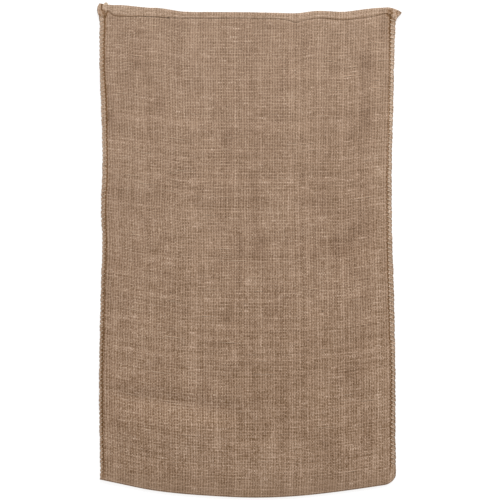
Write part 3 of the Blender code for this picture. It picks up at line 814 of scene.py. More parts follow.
def hessian_group():
    """Plain weave. For a place (u, v) on the flat cloth, each set of yarns has a number, the
    whole part of place / pitch, and a distance from that yarn's middle. A yarn is round
    across and waves over and under the other set; the higher of the two yarns shows, and
    where there is neither the cloth is open and lowest, and the material paints it dark as
    shade. Puts out the height in pitches, the tone (0.5 plain), how thick a slub the yarn
    has, and how open the cloth is."""
    tree = bpy.data.node_groups.new("hessian", "ShaderNodeTree")
    face = tree.interface
    face.new_socket("Place", in_out="INPUT", socket_type="NodeSocketVector")
    for name, default in (("Warp Pitch", WARP_PITCH), ("Weft Pitch", WEFT_PITCH),
                          ("Warp Half Width", 0.365), ("Weft Half Width", 0.355)):
        face.new_socket(name, in_out="INPUT", socket_type="NodeSocketFloat").default_value = default
    for name in ("Height", "Tone", "Slub", "Open"):
        face.new_socket(name, in_out="OUTPUT", socket_type="NodeSocketFloat")
    inside, outside = tree.nodes.new("NodeGroupInput"), tree.nodes.new("NodeGroupOutput")
    place = inside.outputs["Place"]
    u, v, _ = parts(tree, place)
    broad = parts(tree, noise(tree, place, 26, 1.0)[1])
    close = parts(tree, noise(tree, place, 210, 1.0)[1])
    u = calc(tree, "ADD", u, calc(tree, "MULTIPLY", calc(tree, "SUBTRACT", broad[0], 0.5), 0.0014))
    v = calc(tree, "ADD", v, calc(tree, "MULTIPLY", calc(tree, "SUBTRACT", broad[1], 0.5), 0.0016))
    u = calc(tree, "ADD", u, calc(tree, "MULTIPLY", calc(tree, "SUBTRACT", close[0], 0.5), 0.0008))
    v = calc(tree, "ADD", v, calc(tree, "MULTIPLY", calc(tree, "SUBTRACT", close[1], 0.5), 0.0009))

    def yarns(run, other, pitch_run, pitch_other, half_width, paired, seed, slub_share, ranked,
              alternate):
        """One set of yarns: number, roundness 0 to 1, wave, tone and slub."""
        count = calc(tree, "DIVIDE", run, pitch_run)
        number = calc(tree, "FLOOR", count)
        odd = calc(tree, "MODULO", calc(tree, "ADD", number, 1000.0), 2.0)
        from_middle = calc(tree, "SUBTRACT", calc(tree, "SUBTRACT", count, number), 0.5)
        from_middle = calc(tree, "ADD", from_middle, calc(
            tree, "MULTIPLY", calc(tree, "SUBTRACT", odd, 0.5), paired))
        rank = chance(tree, number, seed)
        rank_two = chance(tree, number, seed + 31.7)
        from_middle = calc(tree, "ADD", from_middle, calc(
            tree, "MULTIPLY", calc(tree, "SUBTRACT", rank_two, 0.5), 0.14))
        lengthwise = pair(tree, calc(tree, "MULTIPLY", other, 34.0),
                          calc(tree, "MULTIPLY", number, 7.31))
        swell = noise(tree, lengthwise, 1.0, 2.0)[0]
        slub = calc(tree, "SMOOTH_MIN", calc(tree, "MAXIMUM", calc(
            tree, "MULTIPLY", calc(tree, "SUBTRACT", swell, slub_share), 6.0), 0.0), 1.0, 0.2)
        width = calc(tree, "ADD", half_width, calc(
            tree, "MULTIPLY", calc(tree, "SUBTRACT", rank, 0.5), 0.12))
        width = calc(tree, "ADD", width, calc(tree, "MULTIPLY", slub, 0.22))
        width = calc(tree, "ADD", width, calc(
            tree, "MULTIPLY", calc(tree, "SUBTRACT", swell, 0.5), 0.22))
        reach = calc(tree, "DIVIDE", from_middle, width)
        round_ = calc(tree, "SQRT", calc(tree, "MAXIMUM", calc(
            tree, "SUBTRACT", 1.0, calc(tree, "MULTIPLY", reach, reach)), 0.0))
        wave = calc(tree, "SINE", calc(tree, "MULTIPLY", calc(
            tree, "ADD", calc(tree, "DIVIDE", other, pitch_other), number), math.pi))
        strands = noise(tree, pair(tree, calc(tree, "MULTIPLY", run, 2600.0),
                                   calc(tree, "MULTIPLY", other, 260.0)), 1.0, 2.0)[0]
        mottle = noise(tree, pair(tree, calc(tree, "MULTIPLY", other, 230.0),
                                  calc(tree, "MULTIPLY", number, 9.73)), 1.0, 1.0)[0]
        drift = noise(tree, pair(tree, calc(tree, "MULTIPLY", other, 21.0),
                                 calc(tree, "MULTIPLY", number, 5.17)), 1.0, 1.0)[0]
        tone = calc(tree, "ADD", calc(tree, "MULTIPLY", calc(
            tree, "SUBTRACT", rank, 0.5), ranked), calc(tree, "MULTIPLY", swell, 0.14))
        tone = calc(tree, "ADD", tone, calc(tree, "MULTIPLY", calc(
            tree, "SUBTRACT", odd, 0.5), alternate))
        tone = calc(tree, "ADD", tone, calc(tree, "MULTIPLY_ADD", drift, 0.28, 0.03))
        tone = calc(tree, "ADD", tone, calc(tree, "MULTIPLY_ADD", mottle, 0.55, -0.15))
        tone = calc(tree, "ADD", tone, calc(tree, "MULTIPLY", strands, 0.26))
        return number, round_, wave, tone, slub

    warp = yarns(u, v, inside.outputs["Warp Pitch"], inside.outputs["Weft Pitch"],
                 inside.outputs["Warp Half Width"], 0.30, 3.0, 0.70, 0.11, 0.10)
    weft = yarns(v, u, inside.outputs["Weft Pitch"], inside.outputs["Warp Pitch"],
                 inside.outputs["Weft Half Width"], 0.0, 57.0, 0.66, 0.08, 0.0)

    def height(round_, wave, sign):
        """0.5 round + 0.38 wave where the yarn is, far down where it is not."""
        up = calc(tree, "ADD", calc(tree, "MULTIPLY", round_, 0.5),
                  calc(tree, "MULTIPLY", wave, 0.38 * sign))
        there = calc(tree, "GREATER_THAN", round_, 0.02)
        return calc(tree, "SUBTRACT", up, calc(
            tree, "MULTIPLY", calc(tree, "SUBTRACT", 1.0, there), 2.0))

    warp_height, weft_height = height(warp[1], warp[2], 1.0), height(weft[1], weft[2], -1.0)
    top = calc(tree, "MAXIMUM", calc(tree, "MAXIMUM", warp_height, weft_height), -0.8)
    weft_up = calc(tree, "GREATER_THAN", weft_height, warp_height)
    tone = calc(tree, "ADD", calc(tree, "MULTIPLY", weft[3], weft_up), calc(
        tree, "MULTIPLY", warp[3], calc(tree, "SUBTRACT", 1.0, weft_up)))
    slub = calc(tree, "ADD", calc(tree, "MULTIPLY", weft[4], weft_up), calc(
        tree, "MULTIPLY", warp[4], calc(tree, "MULTIPLY", calc(
            tree, "SUBTRACT", 1.0, weft_up), 0.6)))
    opened = calc(tree, "LESS_THAN", top, -0.7)
    for name, value in (("Height", top), ("Tone", tone), ("Slub", slub), ("Open", opened)):
        tree.links.new(value, outside.inputs[name])
    return tree


hessian = hessian_group()


DEEP_YARN = (0.178, 0.101, 0.051, 1)
PLAIN_YARN = (0.350, 0.230, 0.153, 1)
PALE_YARN = (0.520, 0.372, 0.274, 1)
SLUB_YARN = (0.560, 0.412, 0.312, 1)
# Painted shade down between the yarns and in the open gaps of the weave.
SHADE_BETWEEN_YARNS = (0.092, 0.040, 0.007, 1)
DUSTY_GREY = (0.235, 0.240, 0.240, 1)
DEEP_SHADE = (0.096, 0.042, 0.008, 1)
SHADE_AND_DUST_TINT = (0.97, 0.87, 0.76)      # what is left of each colour beside the painted shade and dust, browner there


def cloth_material():
    """Hessian: the yarns' tone runs from brown to pale straw, with painted light on their
    crowns and painted shade down between them; it is paler on slubs, patchy over the whole
    sack, with painted light and shade of the folds among the patches, greyer towards the
    mouth, browner beside the painted shade and dust and deep brown in them."""
    made, tree, shader = material_of("jute_hessian", 0.9, 0.15)
    flat = tree.nodes.new("ShaderNodeUVMap")
    flat.uv_map = "Flat"
    weave = tree.nodes.new("ShaderNodeGroup")
    weave.node_tree = hessian
    tree.links.new(flat.outputs[0], weave.inputs["Place"])
    up_sack = calc(tree, "ABSOLUTE", parts(tree, flat.outputs[0])[1])
    gain = calc(tree, "MULTIPLY_ADD", up_sack, -0.60, 1.55)
    by_fold = calc(tree, "MINIMUM", calc(tree, "MULTIPLY_ADD", up_sack, 14.0, 0.36), 1.0)
    gain = calc(tree, "MULTIPLY", gain, by_fold)
    ramp = tree.nodes.new("ShaderNodeValToRGB")
    ramp.color_ramp.elements[0].position = 0.18
    ramp.color_ramp.elements[0].color = DEEP_YARN
    ramp.color_ramp.elements[1].position = 0.85
    ramp.color_ramp.elements[1].color = PALE_YARN
    middle = ramp.color_ramp.elements.new(0.5)
    middle.color = PLAIN_YARN
    tone = calc(tree, "MULTIPLY", calc(tree, "SUBTRACT", weave.outputs["Tone"], 0.5), gain)
    tree.links.new(calc(tree, "ADD", tone, 0.5), ramp.inputs["Fac"])
    colour = blend(tree, calc(tree, "MULTIPLY", weave.outputs["Slub"], 0.75),
                   ramp.outputs["Color"], SLUB_YARN)
    # Painted light and shade of the weave: the crowns of the yarns are made paler and the cloth
    # darker down between them, most where it is open.
    low = calc(tree, "MULTIPLY_ADD", weave.outputs["Height"], 0.95, -0.48)
    low = calc(tree, "MULTIPLY_ADD", low, gain, 1.0)
    low = calc(tree, "MINIMUM", calc(tree, "MAXIMUM", low, 0.05), 1.25)
    colour = scaled(tree, colour, calc(tree, "MAXIMUM", low, 1.0))
    colour = blend(tree, calc(tree, "MAXIMUM", calc(tree, "SUBTRACT", 1.0, low), 0.0), colour,
                   SHADE_BETWEEN_YARNS)
    where = tree.nodes.new("ShaderNodeTexCoord").outputs["Object"]
    patch = noise(tree, where, 9.0, 3.0, "3D", 0.6)[0]
    small = noise(tree, where, 55.0, 2.0, "3D", 0.6)[0]
    # The 'tone' mark holds painted light and shade of the folds, of the selvedges' edges and under
    # the hem's edge, with the paler strips and hem.
    tone_and_painted_light = tree.nodes.new("ShaderNodeAttribute")
    tone_and_painted_light.attribute_name = "tone"
    patchy = calc(tree, "ADD", calc(tree, "MULTIPLY_ADD", patch, 0.32, -0.16),
                  calc(tree, "MULTIPLY_ADD", small, 0.34, -0.17))
    across, up, _ = parts(tree, flat.outputs[0])
    bands = noise(tree, pair(tree, calc(tree, "MULTIPLY", across, 44.0),
                             calc(tree, "MULTIPLY", up, 6.0)), 1.0, 1.0)[0]
    patchy = calc(tree, "ADD", patchy, calc(tree, "MULTIPLY_ADD", bands, 0.25, -0.125))
    patchy = calc(tree, "ADD", patchy, tone_and_painted_light.outputs["Fac"])
    colour = scaled(tree, colour, calc(tree, "MULTIPLY_ADD", patchy, 0.4, 1.0))
    paler = tree.nodes.new("ShaderNodeGamma")
    tree.links.new(colour, paler.inputs["Color"])
    tree.links.new(calc(tree, "MULTIPLY_ADD", patchy, -0.42, 1.0), paler.inputs["Gamma"])
    colour = paler.outputs[0]
    greyer = calc(tree, "MAXIMUM", calc(tree, "MULTIPLY_ADD", up_sack, 0.10, -0.02), 0.0)
    colour = blend(tree, greyer, colour, DUSTY_GREY)
    depth = tree.nodes.new("ShaderNodeAttribute")
    depth.attribute_name = "shade"
    # Painted shade and dust: the cloth is browner beside them and deep brown in them.
    beside = calc(tree, "MINIMUM", calc(tree, "MULTIPLY", depth.outputs["Fac"], 2.5), 1.0)
    tinted_beside_shade = tree.nodes.new("ShaderNodeVectorMath")
    tinted_beside_shade.operation = "MULTIPLY"
    tree.links.new(colour, tinted_beside_shade.inputs[0])
    tinted_beside_shade.inputs[1].default_value = SHADE_AND_DUST_TINT
    colour = blend(tree, beside, colour, tinted_beside_shade.outputs[0])
    colour = blend(tree, calc(tree, "MULTIPLY", depth.outputs["Fac"], 0.93), colour,
                   DEEP_SHADE)
    tree.links.new(colour, shader.inputs["Base Color"])
    bump = tree.nodes.new("ShaderNodeBump")
    bump.inputs["Strength"].default_value = 0.6
    bump.inputs["Distance"].default_value = 0.0009
    tree.links.new(weave.outputs["Height"], bump.inputs["Height"])
    tree.links.new(bump.outputs[0], shader.inputs["Normal"])
    shader.inputs["Sheen Weight"].default_value = 0.08
    shader.inputs["Sheen Roughness"].default_value = 0.5
    shader.inputs["Sheen Tint"].default_value = (0.9, 0.75, 0.6, 1)
    return made


jute_cloth = cloth_material()
front_masks = {
    "shade": shade_of(front_middle_grid, front_plain, 1),
    "tone": patch_tone(front_middle_grid[:, :, 0], front_middle_grid[:, :, 1])}
# The back has the front's patches the other way round and a little lower.
back_masks = {
    "shade": shade_of(back_middle_grid, back_plain, -1),
    "tone": patch_tone(-back_middle_grid[:, :, 0], back_middle_grid[:, :, 1] + 0.05)}
front = cloth_shell("sack_front", front_middle_grid, front_flat, front_masks, 1, jute_cloth)
back = cloth_shell("sack_back", back_middle_grid, back_flat, back_masks, -1, jute_cloth)


def belongs_to_sack(piece):
    """Sews a piece to the sack: it lies with the sack's one body and stands for the sack's
    solid, which it hides."""
    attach(piece, "root")
    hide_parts("sack_cloth")


belongs_to_sack(front)
belongs_to_sack(back)


# ---- Twine of the side seams -------------------------------------------------------------
# Two-ply jute twine, overcast round both fins: it comes up through the two layers at the
# needle line, runs slantwise over the front, round the selvedges and back underneath.

TWINE = 0.00085              # radius
TWINE_SIDES = 7
TWINE_TIGHT = 0.72           # share of the radius that is left of pulled twine
TWINE_BED = 0.8              # its middle lies this share of the radius off the cloth
# One stitch: share of the way, inset as a share of the hole's, on top (1) or below (-1), and
# how far along the seam.
STITCH_PATH = np.array([
    (1.00, 0.0, 0.00), (0.99, 1.0, 0.01), (0.90, 1.0, 0.05), (0.68, 1.0, 0.14),
    (0.45, 1.0, 0.24), (0.22, 1.0, 0.33), (0.04, 0.9, 0.41), (-0.07, 0.0, 0.46),
    (0.03, -0.9, 0.52), (0.25, -1.0, 0.60), (0.50, -1.0, 0.70), (0.75, -1.0, 0.82),
    (0.92, -1.0, 0.93), (0.99, -1.0, 0.98)])


def seam_point(side, run, inset):
    """Place of a point of the seam, `run` metres down from SEAM_TOP and on round the corner
    on the right, and `inset` metres in from the edge."""
    y = np.maximum(SEAM_TOP - run, CORNER_CENTRE[1] if side > 0 else SEAM_FOOT)
    edge = smooth_line(SIDES, 2 if side > 0 else 1, y)
    x = edge - side * inset
    if side > 0:
        turned = np.clip(run - (SEAM_TOP - CORNER_CENTRE[1]), 0, None) / CORNER
        reach = CORNER - inset
        round_x = CORNER_CENTRE[0] + reach * np.cos(turned)
        round_y = CORNER_CENTRE[1] - reach * np.sin(turned)
        x = np.where(turned > 0, round_x, x)
        y = np.where(turned > 0, round_y, y)
    return x, y


def tube(name, centres, radius, sides, material, reference, squash=1.0):
    """Round strands along (strands, points, 3) centre lines: at each point a ring, across the
    line's slope, of the given radius, which may change along it. `reference` is a direction
    that no strand runs along. Map "Length" is (share round, metres along)."""
    strands, points = centres.shape[:2]
    slope = np.gradient(centres, axis=1)
    slope /= np.linalg.norm(slope, axis=2, keepdims=True) + 1e-12
    side = np.cross(slope, np.broadcast_to(reference, slope.shape))
    side /= np.linalg.norm(side, axis=2, keepdims=True) + 1e-12
    rise = np.cross(slope, side)
    turn = 2 * np.pi * np.arange(sides) / sides
    radius = np.broadcast_to(radius, (strands, points))[:, :, None, None]
    ring = (side[:, :, None] * np.cos(turn)[None, None, :, None]
            + rise[:, :, None] * (squash * np.sin(turn))[None, None, :, None])
    mesh_points = (centres[:, :, None] + radius * ring).reshape(-1, 3)
    ids = np.arange(strands * points * sides).reshape(strands, points, sides)
    ahead = np.roll(ids, -1, axis=2)
    walls = np.stack([ids[:, :-1], ahead[:, :-1], ahead[:, 1:], ids[:, 1:]],
                     axis=3).reshape(-1, 4)
    caps = np.concatenate([ids[:, 0, ::-1], ids[:, -1]])
    piece = mesh_piece(name, mesh_points, [walls, caps], material)
    step = np.linalg.norm(np.diff(centres, axis=1), axis=2)
    length = np.concatenate([np.zeros((strands, 1)), np.cumsum(step, axis=1)], axis=1)
    start = np.arange(strands)[:, None] * 0.37
    length = length + start
    round_ = np.arange(sides) / sides
    low = np.broadcast_to(length[:, :-1, None], (strands, points - 1, sides))
    high = np.broadcast_to(length[:, 1:, None], low.shape)
    near = np.broadcast_to(round_[None, None], low.shape)
    far = near + 1 / sides
    wall_map = np.stack([np.stack([near, low], 3), np.stack([far, low], 3),
                         np.stack([far, high], 3), np.stack([near, high], 3)], axis=3)
    cap_map = np.zeros((caps.size, 2))
    uv = piece.data.uv_layers.new(name="Length")
    uv.data.foreach_set("uv", np.concatenate(
        [wall_map.reshape(-1, 2), cap_map]).ravel().astype(np.float32))
    return piece


def twine_material(name, pale, deep, plies, twist):
    """Twisted twine: plies wind round it, with painted shade in the valley between each two,
    and pale and brown fibres run along them."""
    made, tree, shader = material_of(name, 0.85, 0.2)
    length = tree.nodes.new("ShaderNodeUVMap")
    length.uv_map = "Length"
    round_, along, _ = parts(tree, length.outputs[0])
    wind = calc(tree, "ADD", calc(tree, "MULTIPLY", round_, float(plies)),
                calc(tree, "DIVIDE", along, twist))
    valley = calc(tree, "ABSOLUTE", calc(tree, "SINE", calc(tree, "MULTIPLY", wind, math.pi)))
    fibres = noise(tree, pair(tree, calc(tree, "MULTIPLY", wind, 3.0),
                              calc(tree, "MULTIPLY", along, 90.0)), 1.0, 3.0)[0]
    tint = calc(tree, "ADD", calc(tree, "MULTIPLY", valley, 0.5),
                calc(tree, "MULTIPLY", fibres, 0.5))
    colour = blend(tree, tint, deep, pale)
    tree.links.new(colour, shader.inputs["Base Color"])
    bump = tree.nodes.new("ShaderNodeBump")
    bump.inputs["Strength"].default_value = 0.7
    bump.inputs["Distance"].default_value = 0.0003
    tree.links.new(tint, bump.inputs["Height"])
    tree.links.new(bump.outputs[0], shader.inputs["Normal"])
    shader.inputs["Sheen Weight"].default_value = 0.1
    return made


seam_twine_material = twine_material("jute_twine", (0.690, 0.545, 0.410, 1),
                                     (0.380, 0.275, 0.185, 1), 2, 0.0042)
worn_twine_material = twine_material("worn_twine", (0.610, 0.475, 0.350, 1),
                                     (0.310, 0.220, 0.145, 1), 2, 0.0042)


def overcast(side, stitches, seed, swollen):
    """The centre line and radius of one seam's twine, stitch after stitch, each a little
    different, and `swollen` where it comes out of its hole."""
    draw = np.random.default_rng(seed)
    number = np.arange(stitches)
    hole = hole_inset(side + 0 * number, SEAM_TOP - number * STITCH)
    hole = hole + draw.normal(0, 0.00035, len(number))
    slant = draw.normal(0, 0.05, len(number))
    share, level, along = STITCH_PATH.T
    inset = share[None] * hole[:, None]
    run = (number[:, None] + along[None] + slant[:, None] * (share[None] < 0.6)
           * (share[None] > -0.2) * np.sin(np.pi * along[None])) * STITCH
    x, y = seam_point(side, run, np.maximum(inset, 0))
    out = seam_point(side, run, inset)
    top = front_middle(x, y) + CLOTH / 2 + TWINE * TWINE_BED
    low = np.maximum(back_middle(x, y) - CLOTH / 2 - TWINE * TWINE_BED, TWINE)
    z = (top + low) / 2 + (top - low) / 2 * level[None]
    draw_in = sewn(x, y, np.zeros_like(x))[0]
    x = out[0] - side * draw_in * np.clip(1 - np.abs(share), 0, 1)
    radius = TWINE * (TWINE_TIGHT + swollen * bell(share - 0.76, 0.20) * (level > 0))
    radius = np.broadcast_to(radius, x.shape).reshape(1, -1)
    return np.stack([x, out[1], z], axis=2).reshape(1, -1, 3), radius


UP_SACK = np.array([0.0, 1.0, 0.0])
seam_left = tube("seam_twine_left", *overcast(-1, STITCHES_LEFT, 5, 0.24), TWINE_SIDES,
                 worn_twine_material, UP_SACK)
seam_right = tube("seam_twine_right", *overcast(1, STITCHES_RIGHT, 6, 0.50), TWINE_SIDES,
                  seam_twine_material, UP_SACK)
belongs_to_sack(seam_left)
belongs_to_sack(seam_right)


# ---- Stitching of the hem ----------------------------------------------------------------
# Thinner jute thread in a running stitch along the middle of the hem, all round the mouth:
# over the turned end, down through it and the layer behind it, and on underneath.

THREAD = 0.00045             # radius
THREAD_SIDES = 5
RUNNING = 0.0072             # from one stitch to the next
RUN_FROM, RUN_TO = -0.2850, 0.2800
DEPTH = 0.50                 # share of the hem's depth

# One stitch: share of its length, and level, 1 on the hem and -1 on the other side.
RUNNING_PATH = np.array([
    (0.00, 0.0), (0.03, 0.7), (0.08, 1.0), (0.20, 1.12), (0.32, 1.15), (0.44, 1.05),
    (0.54, 0.75), (0.57, 0.0), (0.60, -0.8), (0.68, -1.0), (0.80, -1.0), (0.92, -1.0),
    (0.97, -0.7)])


def running_stitch(side, seed):
    """The centre line of the hem's thread on the front (side 1) or the back (-1): stitches of
    slightly uneven length and height, along a line at DEPTH of the hem."""
    draw = np.random.default_rng(seed)
    number = np.arange(int((RUN_TO - RUN_FROM) / RUNNING))
    starts = RUN_FROM + (number + draw.normal(0, 0.08, len(number))) * RUNNING
    ends = np.append(starts[1:], starts[-1] + RUNNING)
    share, level = RUNNING_PATH.T
    x = (starts[:, None] + share * (ends - starts)[:, None]).ravel()
    level = np.tile(level, len(number))
    aside = np.repeat(draw.normal(0, 0.03, len(number)), len(share)) + 0.02 * np.sin(x * 70)
    y = smooth_line(MOUTH, 1, x) - (DEPTH + aside) * smooth_line(HEM_EDGE, 1, x)
    if side > 0:
        low = front_middle(x, y) - CLOTH / 2 - THREAD
        top = front_middle(x, y) + LAYER + CLOTH / 2 + THREAD * 0.6
        z = (top + low) / 2 + (top - low) / 2 * level
    else:
        top = back_middle(x, y) + CLOTH / 2 + THREAD
        low = np.maximum(back_middle(x, y) - LAYER - CLOTH / 2 + THREAD * 0.4, THREAD)
        z = (top + low) / 2 - (top - low) / 2 * np.clip(level, -1, 1)
    return np.stack([x, y, z], axis=1)[None]


hem_thread_material = twine_material("hem_thread", (0.560, 0.400, 0.275, 1),
                                     (0.230, 0.140, 0.080, 1), 2, 0.0030)
hem_front = tube("hem_thread_front", running_stitch(1, 21), THREAD, THREAD_SIDES,
                 hem_thread_material, UP_SACK)
hem_back = tube("hem_thread_back", running_stitch(-1, 22), THREAD, THREAD_SIDES,
                hem_thread_material, UP_SACK)
belongs_to_sack(hem_front)
belongs_to_sack(hem_back)


# ---- Thread ends at the ears -------------------------------------------------------------
# Where the seams begin, the seam twine is knotted off: a loop of it stands out of the top of
# the left ear and a short end out of the tip of the right one.

LOOP_TWINE = 0.00135         # radii
LEFT_TWINE = 0.00070
RIGHT_TWINE = 0.00080

# Points of each end: x, y, z.
LEFT_LOOP = np.array([
    (-0.2925, 0.4972, 0.0050), (-0.2939, 0.4993, 0.0068), (-0.2947, 0.5014, 0.0056),
    (-0.2940, 0.5034, 0.0038), (-0.2917, 0.5043, 0.0030), (-0.2897, 0.5034, 0.0034),
    (-0.2892, 0.5013, 0.0050), (-0.2904, 0.4996, 0.0068), (-0.2921, 0.5006, 0.0070),
    (-0.2920, 0.5022, 0.0050)])
LEFT_END = np.array([
    (-0.2975, 0.4930, 0.0050), (-0.2958, 0.4944, 0.0070), (-0.2937, 0.4950, 0.0074),
    (-0.2915, 0.4946, 0.0070), (-0.2900, 0.4936, 0.0052)])
RIGHT_END = np.array([
    (0.3000, 0.4862, 0.0048), (0.3022, 0.4862, 0.0060), (0.3050, 0.4857, 0.0060),
    (0.3072, 0.4850, 0.0050), (0.3090, 0.4846, 0.0036)])


def drawn_out(points, count):
    """A smooth line of `count` points through a few, by cubics over their even spacing."""
    step = np.linspace(0, len(points) - 1, count)
    table = np.column_stack([np.arange(len(points)), points])
    return np.stack([smooth_line(table, axis, step) for axis in (1, 2, 3)], axis=1)[None]


dark_twine = twine_material("dark_twine", (0.300, 0.200, 0.130, 1), (0.110, 0.065, 0.038, 1),
                            2, 0.0042)
OFF_TABLE = np.array([0.0, 0.0, 1.0])
loop_left = tube("ear_loop_left", drawn_out(LEFT_LOOP, 40), LOOP_TWINE, TWINE_SIDES,
                 worn_twine_material, OFF_TABLE)
end_left = tube("ear_end_left", drawn_out(LEFT_END, 20), LEFT_TWINE, TWINE_SIDES,
                seam_twine_material, OFF_TABLE)
end_right = tube("ear_end_right", drawn_out(RIGHT_END, 20), RIGHT_TWINE, TWINE_SIDES,
                 dark_twine, OFF_TABLE)
belongs_to_sack(loop_left)
belongs_to_sack(end_left)
belongs_to_sack(end_right)


# ---- Slubs -------------------------------------------------------------------------------
# Thick soft places in the weft, paler than the rest, spun from loosely twisted fibre. Each
# is part of a crossways yarn and goes over and under the lengthways yarns as that does.

# Those that stand out, on a grid of small steps: steps to the right of the grid's corner and
# down from it to the slub's middle, its length in steps, its thickness in millimetres.
GRID_STEP = 0.002034
GRID_CORNER = (-0.5073, 0.5099)
SLUBS = np.array([
    (154, 26, 18, 1.7), (120.5, 45, 15, 1.8), (138.5, 56, 18, 1.8), (121, 93, 15, 2.0),
    (189, 27.5, 9, 1.8), (175.5, 138.5, 33, 1.6), (208, 140, 18, 1.6), (146, 153, 32, 1.7),
    (182.5, 170.5, 35, 1.6), (132, 175, 24, 1.7), (144.5, 183.5, 25, 2.1),
    (167, 190, 20, 1.7), (224.5, 197, 15, 1.8), (210, 215, 20, 1.8), (136, 235, 18, 1.6),
    (329, 61, 15, 2.1), (352, 67, 17, 1.7), (378.5, 43, 17, 1.7), (382, 60, 16, 1.8),
    (340, 90, 20, 1.8), (376, 88, 18, 1.7), (324.5, 115.5, 21, 1.7), (307, 143.5, 25, 1.6),
    (312, 150, 25, 1.7), (306, 163, 10, 1.7), (361, 198, 32, 2.1), (349.5, 76, 27, 1.9),
    (336, 62, 5, 2.1), (225, 248.5, 24, 2.2), (238, 260.5, 28, 1.9), (132, 309.5, 26, 1.6),
    (206, 316, 24, 2.1), (173, 337, 24, 2.0), (230, 342.5, 25, 1.7), (187, 366, 12, 1.7),
    (158, 372, 37, 1.7), (131, 394, 18, 1.7), (169, 401, 18, 1.7), (190, 435, 30, 1.6),
    (258, 291, 14, 2.1), (345, 282.5, 15, 1.7), (314, 289, 13, 1.7), (362, 325, 20, 1.6),
    (323, 349, 18, 1.6), (266, 374, 32, 1.8), (349, 394, 14, 2.0), (369, 400, 22, 1.7),
    (324, 427, 24, 1.6), (264, 461, 18, 1.7), (352, 471, 16, 2.0)])
SLUB_COUNT = 110             # strewn besides those
SLUB_LENGTHS = (0.012, 0.045)
SLUB_THICKNESSES = (0.0010, 0.0014)
SLUB_X = (-0.275, 0.270)
SLUB_Y = (-0.455, 0.460)
SLUB_POINTS = 33
SLUB_DIP = 0.00016           # how far it dips where a lengthways yarn crosses over it


def slub_lines(seed):
    """Centre lines and radii of the slubs: the ones listed and others strewn over the front.
    Each keeps to one weft, at a set share of the way up the sack, and its radius swells from
    nothing at both ends."""
    draw = np.random.default_rng(seed)
    right, down, steps, millimetres = SLUBS.T
    x = np.concatenate([GRID_CORNER[0] + right * GRID_STEP, draw.uniform(*SLUB_X, SLUB_COUNT)])
    y = np.concatenate([GRID_CORNER[1] - down * GRID_STEP, draw.uniform(*SLUB_Y, SLUB_COUNT)])
    length = np.concatenate([steps * GRID_STEP, draw.uniform(*SLUB_LENGTHS, SLUB_COUNT)])
    thick = np.concatenate([millimetres / 1000, draw.uniform(*SLUB_THICKNESSES, SLUB_COUNT)])
    share = np.linspace(-1, 1, SLUB_POINTS)[None]
    line_x = x[:, None] + share * length[:, None] / 2
    low, high = bottom_line(x)[:, None], smooth_line(MOUTH, 1, x)[:, None]
    up = (y[:, None] - low) / (high - low)
    line_y = bottom_line(line_x) + up * (smooth_line(MOUTH, 1, line_x) - bottom_line(line_x))
    radius = 0.5 * thick[:, None] * np.clip(1 - np.abs(share) ** 1.7, 0.02, 1) * (
        1 + 0.25 * np.sin(share * 9 + x[:, None] * 900))
    dip = SLUB_DIP * np.cos(2 * np.pi * line_x / (2 * WARP_PITCH))
    line_z = front_middle(line_x, line_y) + CLOTH / 2 + 0.00004 + dip
    return np.stack([line_x, line_y, line_z], axis=2), radius


def slub_material():
    """Loose pale fibre: darker and lighter streaks along it."""
    made, tree, shader = material_of("slub_fibre", 0.9, 0.15)
    length = tree.nodes.new("ShaderNodeUVMap")
    length.uv_map = "Length"
    round_, along, _ = parts(tree, length.outputs[0])
    streaks = noise(tree, pair(tree, calc(tree, "MULTIPLY", round_, 9.0),
                               calc(tree, "MULTIPLY", along, 160.0)), 1.0, 3.0)[0]
    tree.links.new(blend(tree, streaks, (0.470, 0.335, 0.235, 1), (0.740, 0.570, 0.425, 1)),
                   shader.inputs["Base Color"])
    return made


slub_places, slub_radius = slub_lines(31)
slubs = tube("slubs", slub_places, slub_radius, 6, slub_material(), UP_SACK, squash=0.55)
belongs_to_sack(slubs)


# ---- Specks of bark ----------------------------------------------------------------------
# Scraps of the jute plant's bark that were spun in with the fibre: hard, flat and dark brown,
# a few millimetres long, lying along the yarns.

# Those that stand out: middle x, y, length, thickness.
SPECKS = np.array([
    (-0.1646, 0.4743, 0.0060, 0.0016), (-0.1635, 0.3614, 0.0050, 0.0012),
    (-0.2294, 0.3167, 0.0045, 0.0012), (0.0256, 0.1723, 0.0050, 0.0012),
    (-0.0486, -0.0875, 0.0045, 0.0012), (-0.1595, -0.0850, 0.0045, 0.0012),
    (-0.2652, -0.3403, 0.0050, 0.0014), (-0.1412, -0.1511, 0.0045, 0.0012),
    (0.1487, -0.1227, 0.0050, 0.0013), (0.1192, -0.1816, 0.0050, 0.0012),
    (0.2270, -0.4481, 0.0045, 0.0012), (0.0643, -0.2986, 0.0045, 0.0012),
    (0.0927, -0.4054, 0.0045, 0.0012)])
SPECK_COUNT = 45             # strewn besides those
SPECK_LENGTHS = (0.0022, 0.0042)
SPECK_THICKNESSES = (0.0006, 0.0010)
SPECK_X = (-0.280, 0.275)
SPECK_Y = (-0.455, 0.460)
SPECK_POINTS = 7


def hem_layer(x, y):
    """One layer of cloth more for each place on the hem, none elsewhere."""
    return (y > smooth_line(MOUTH, 1, x) - smooth_line(HEM_EDGE, 1, x))[:, None] * LAYER


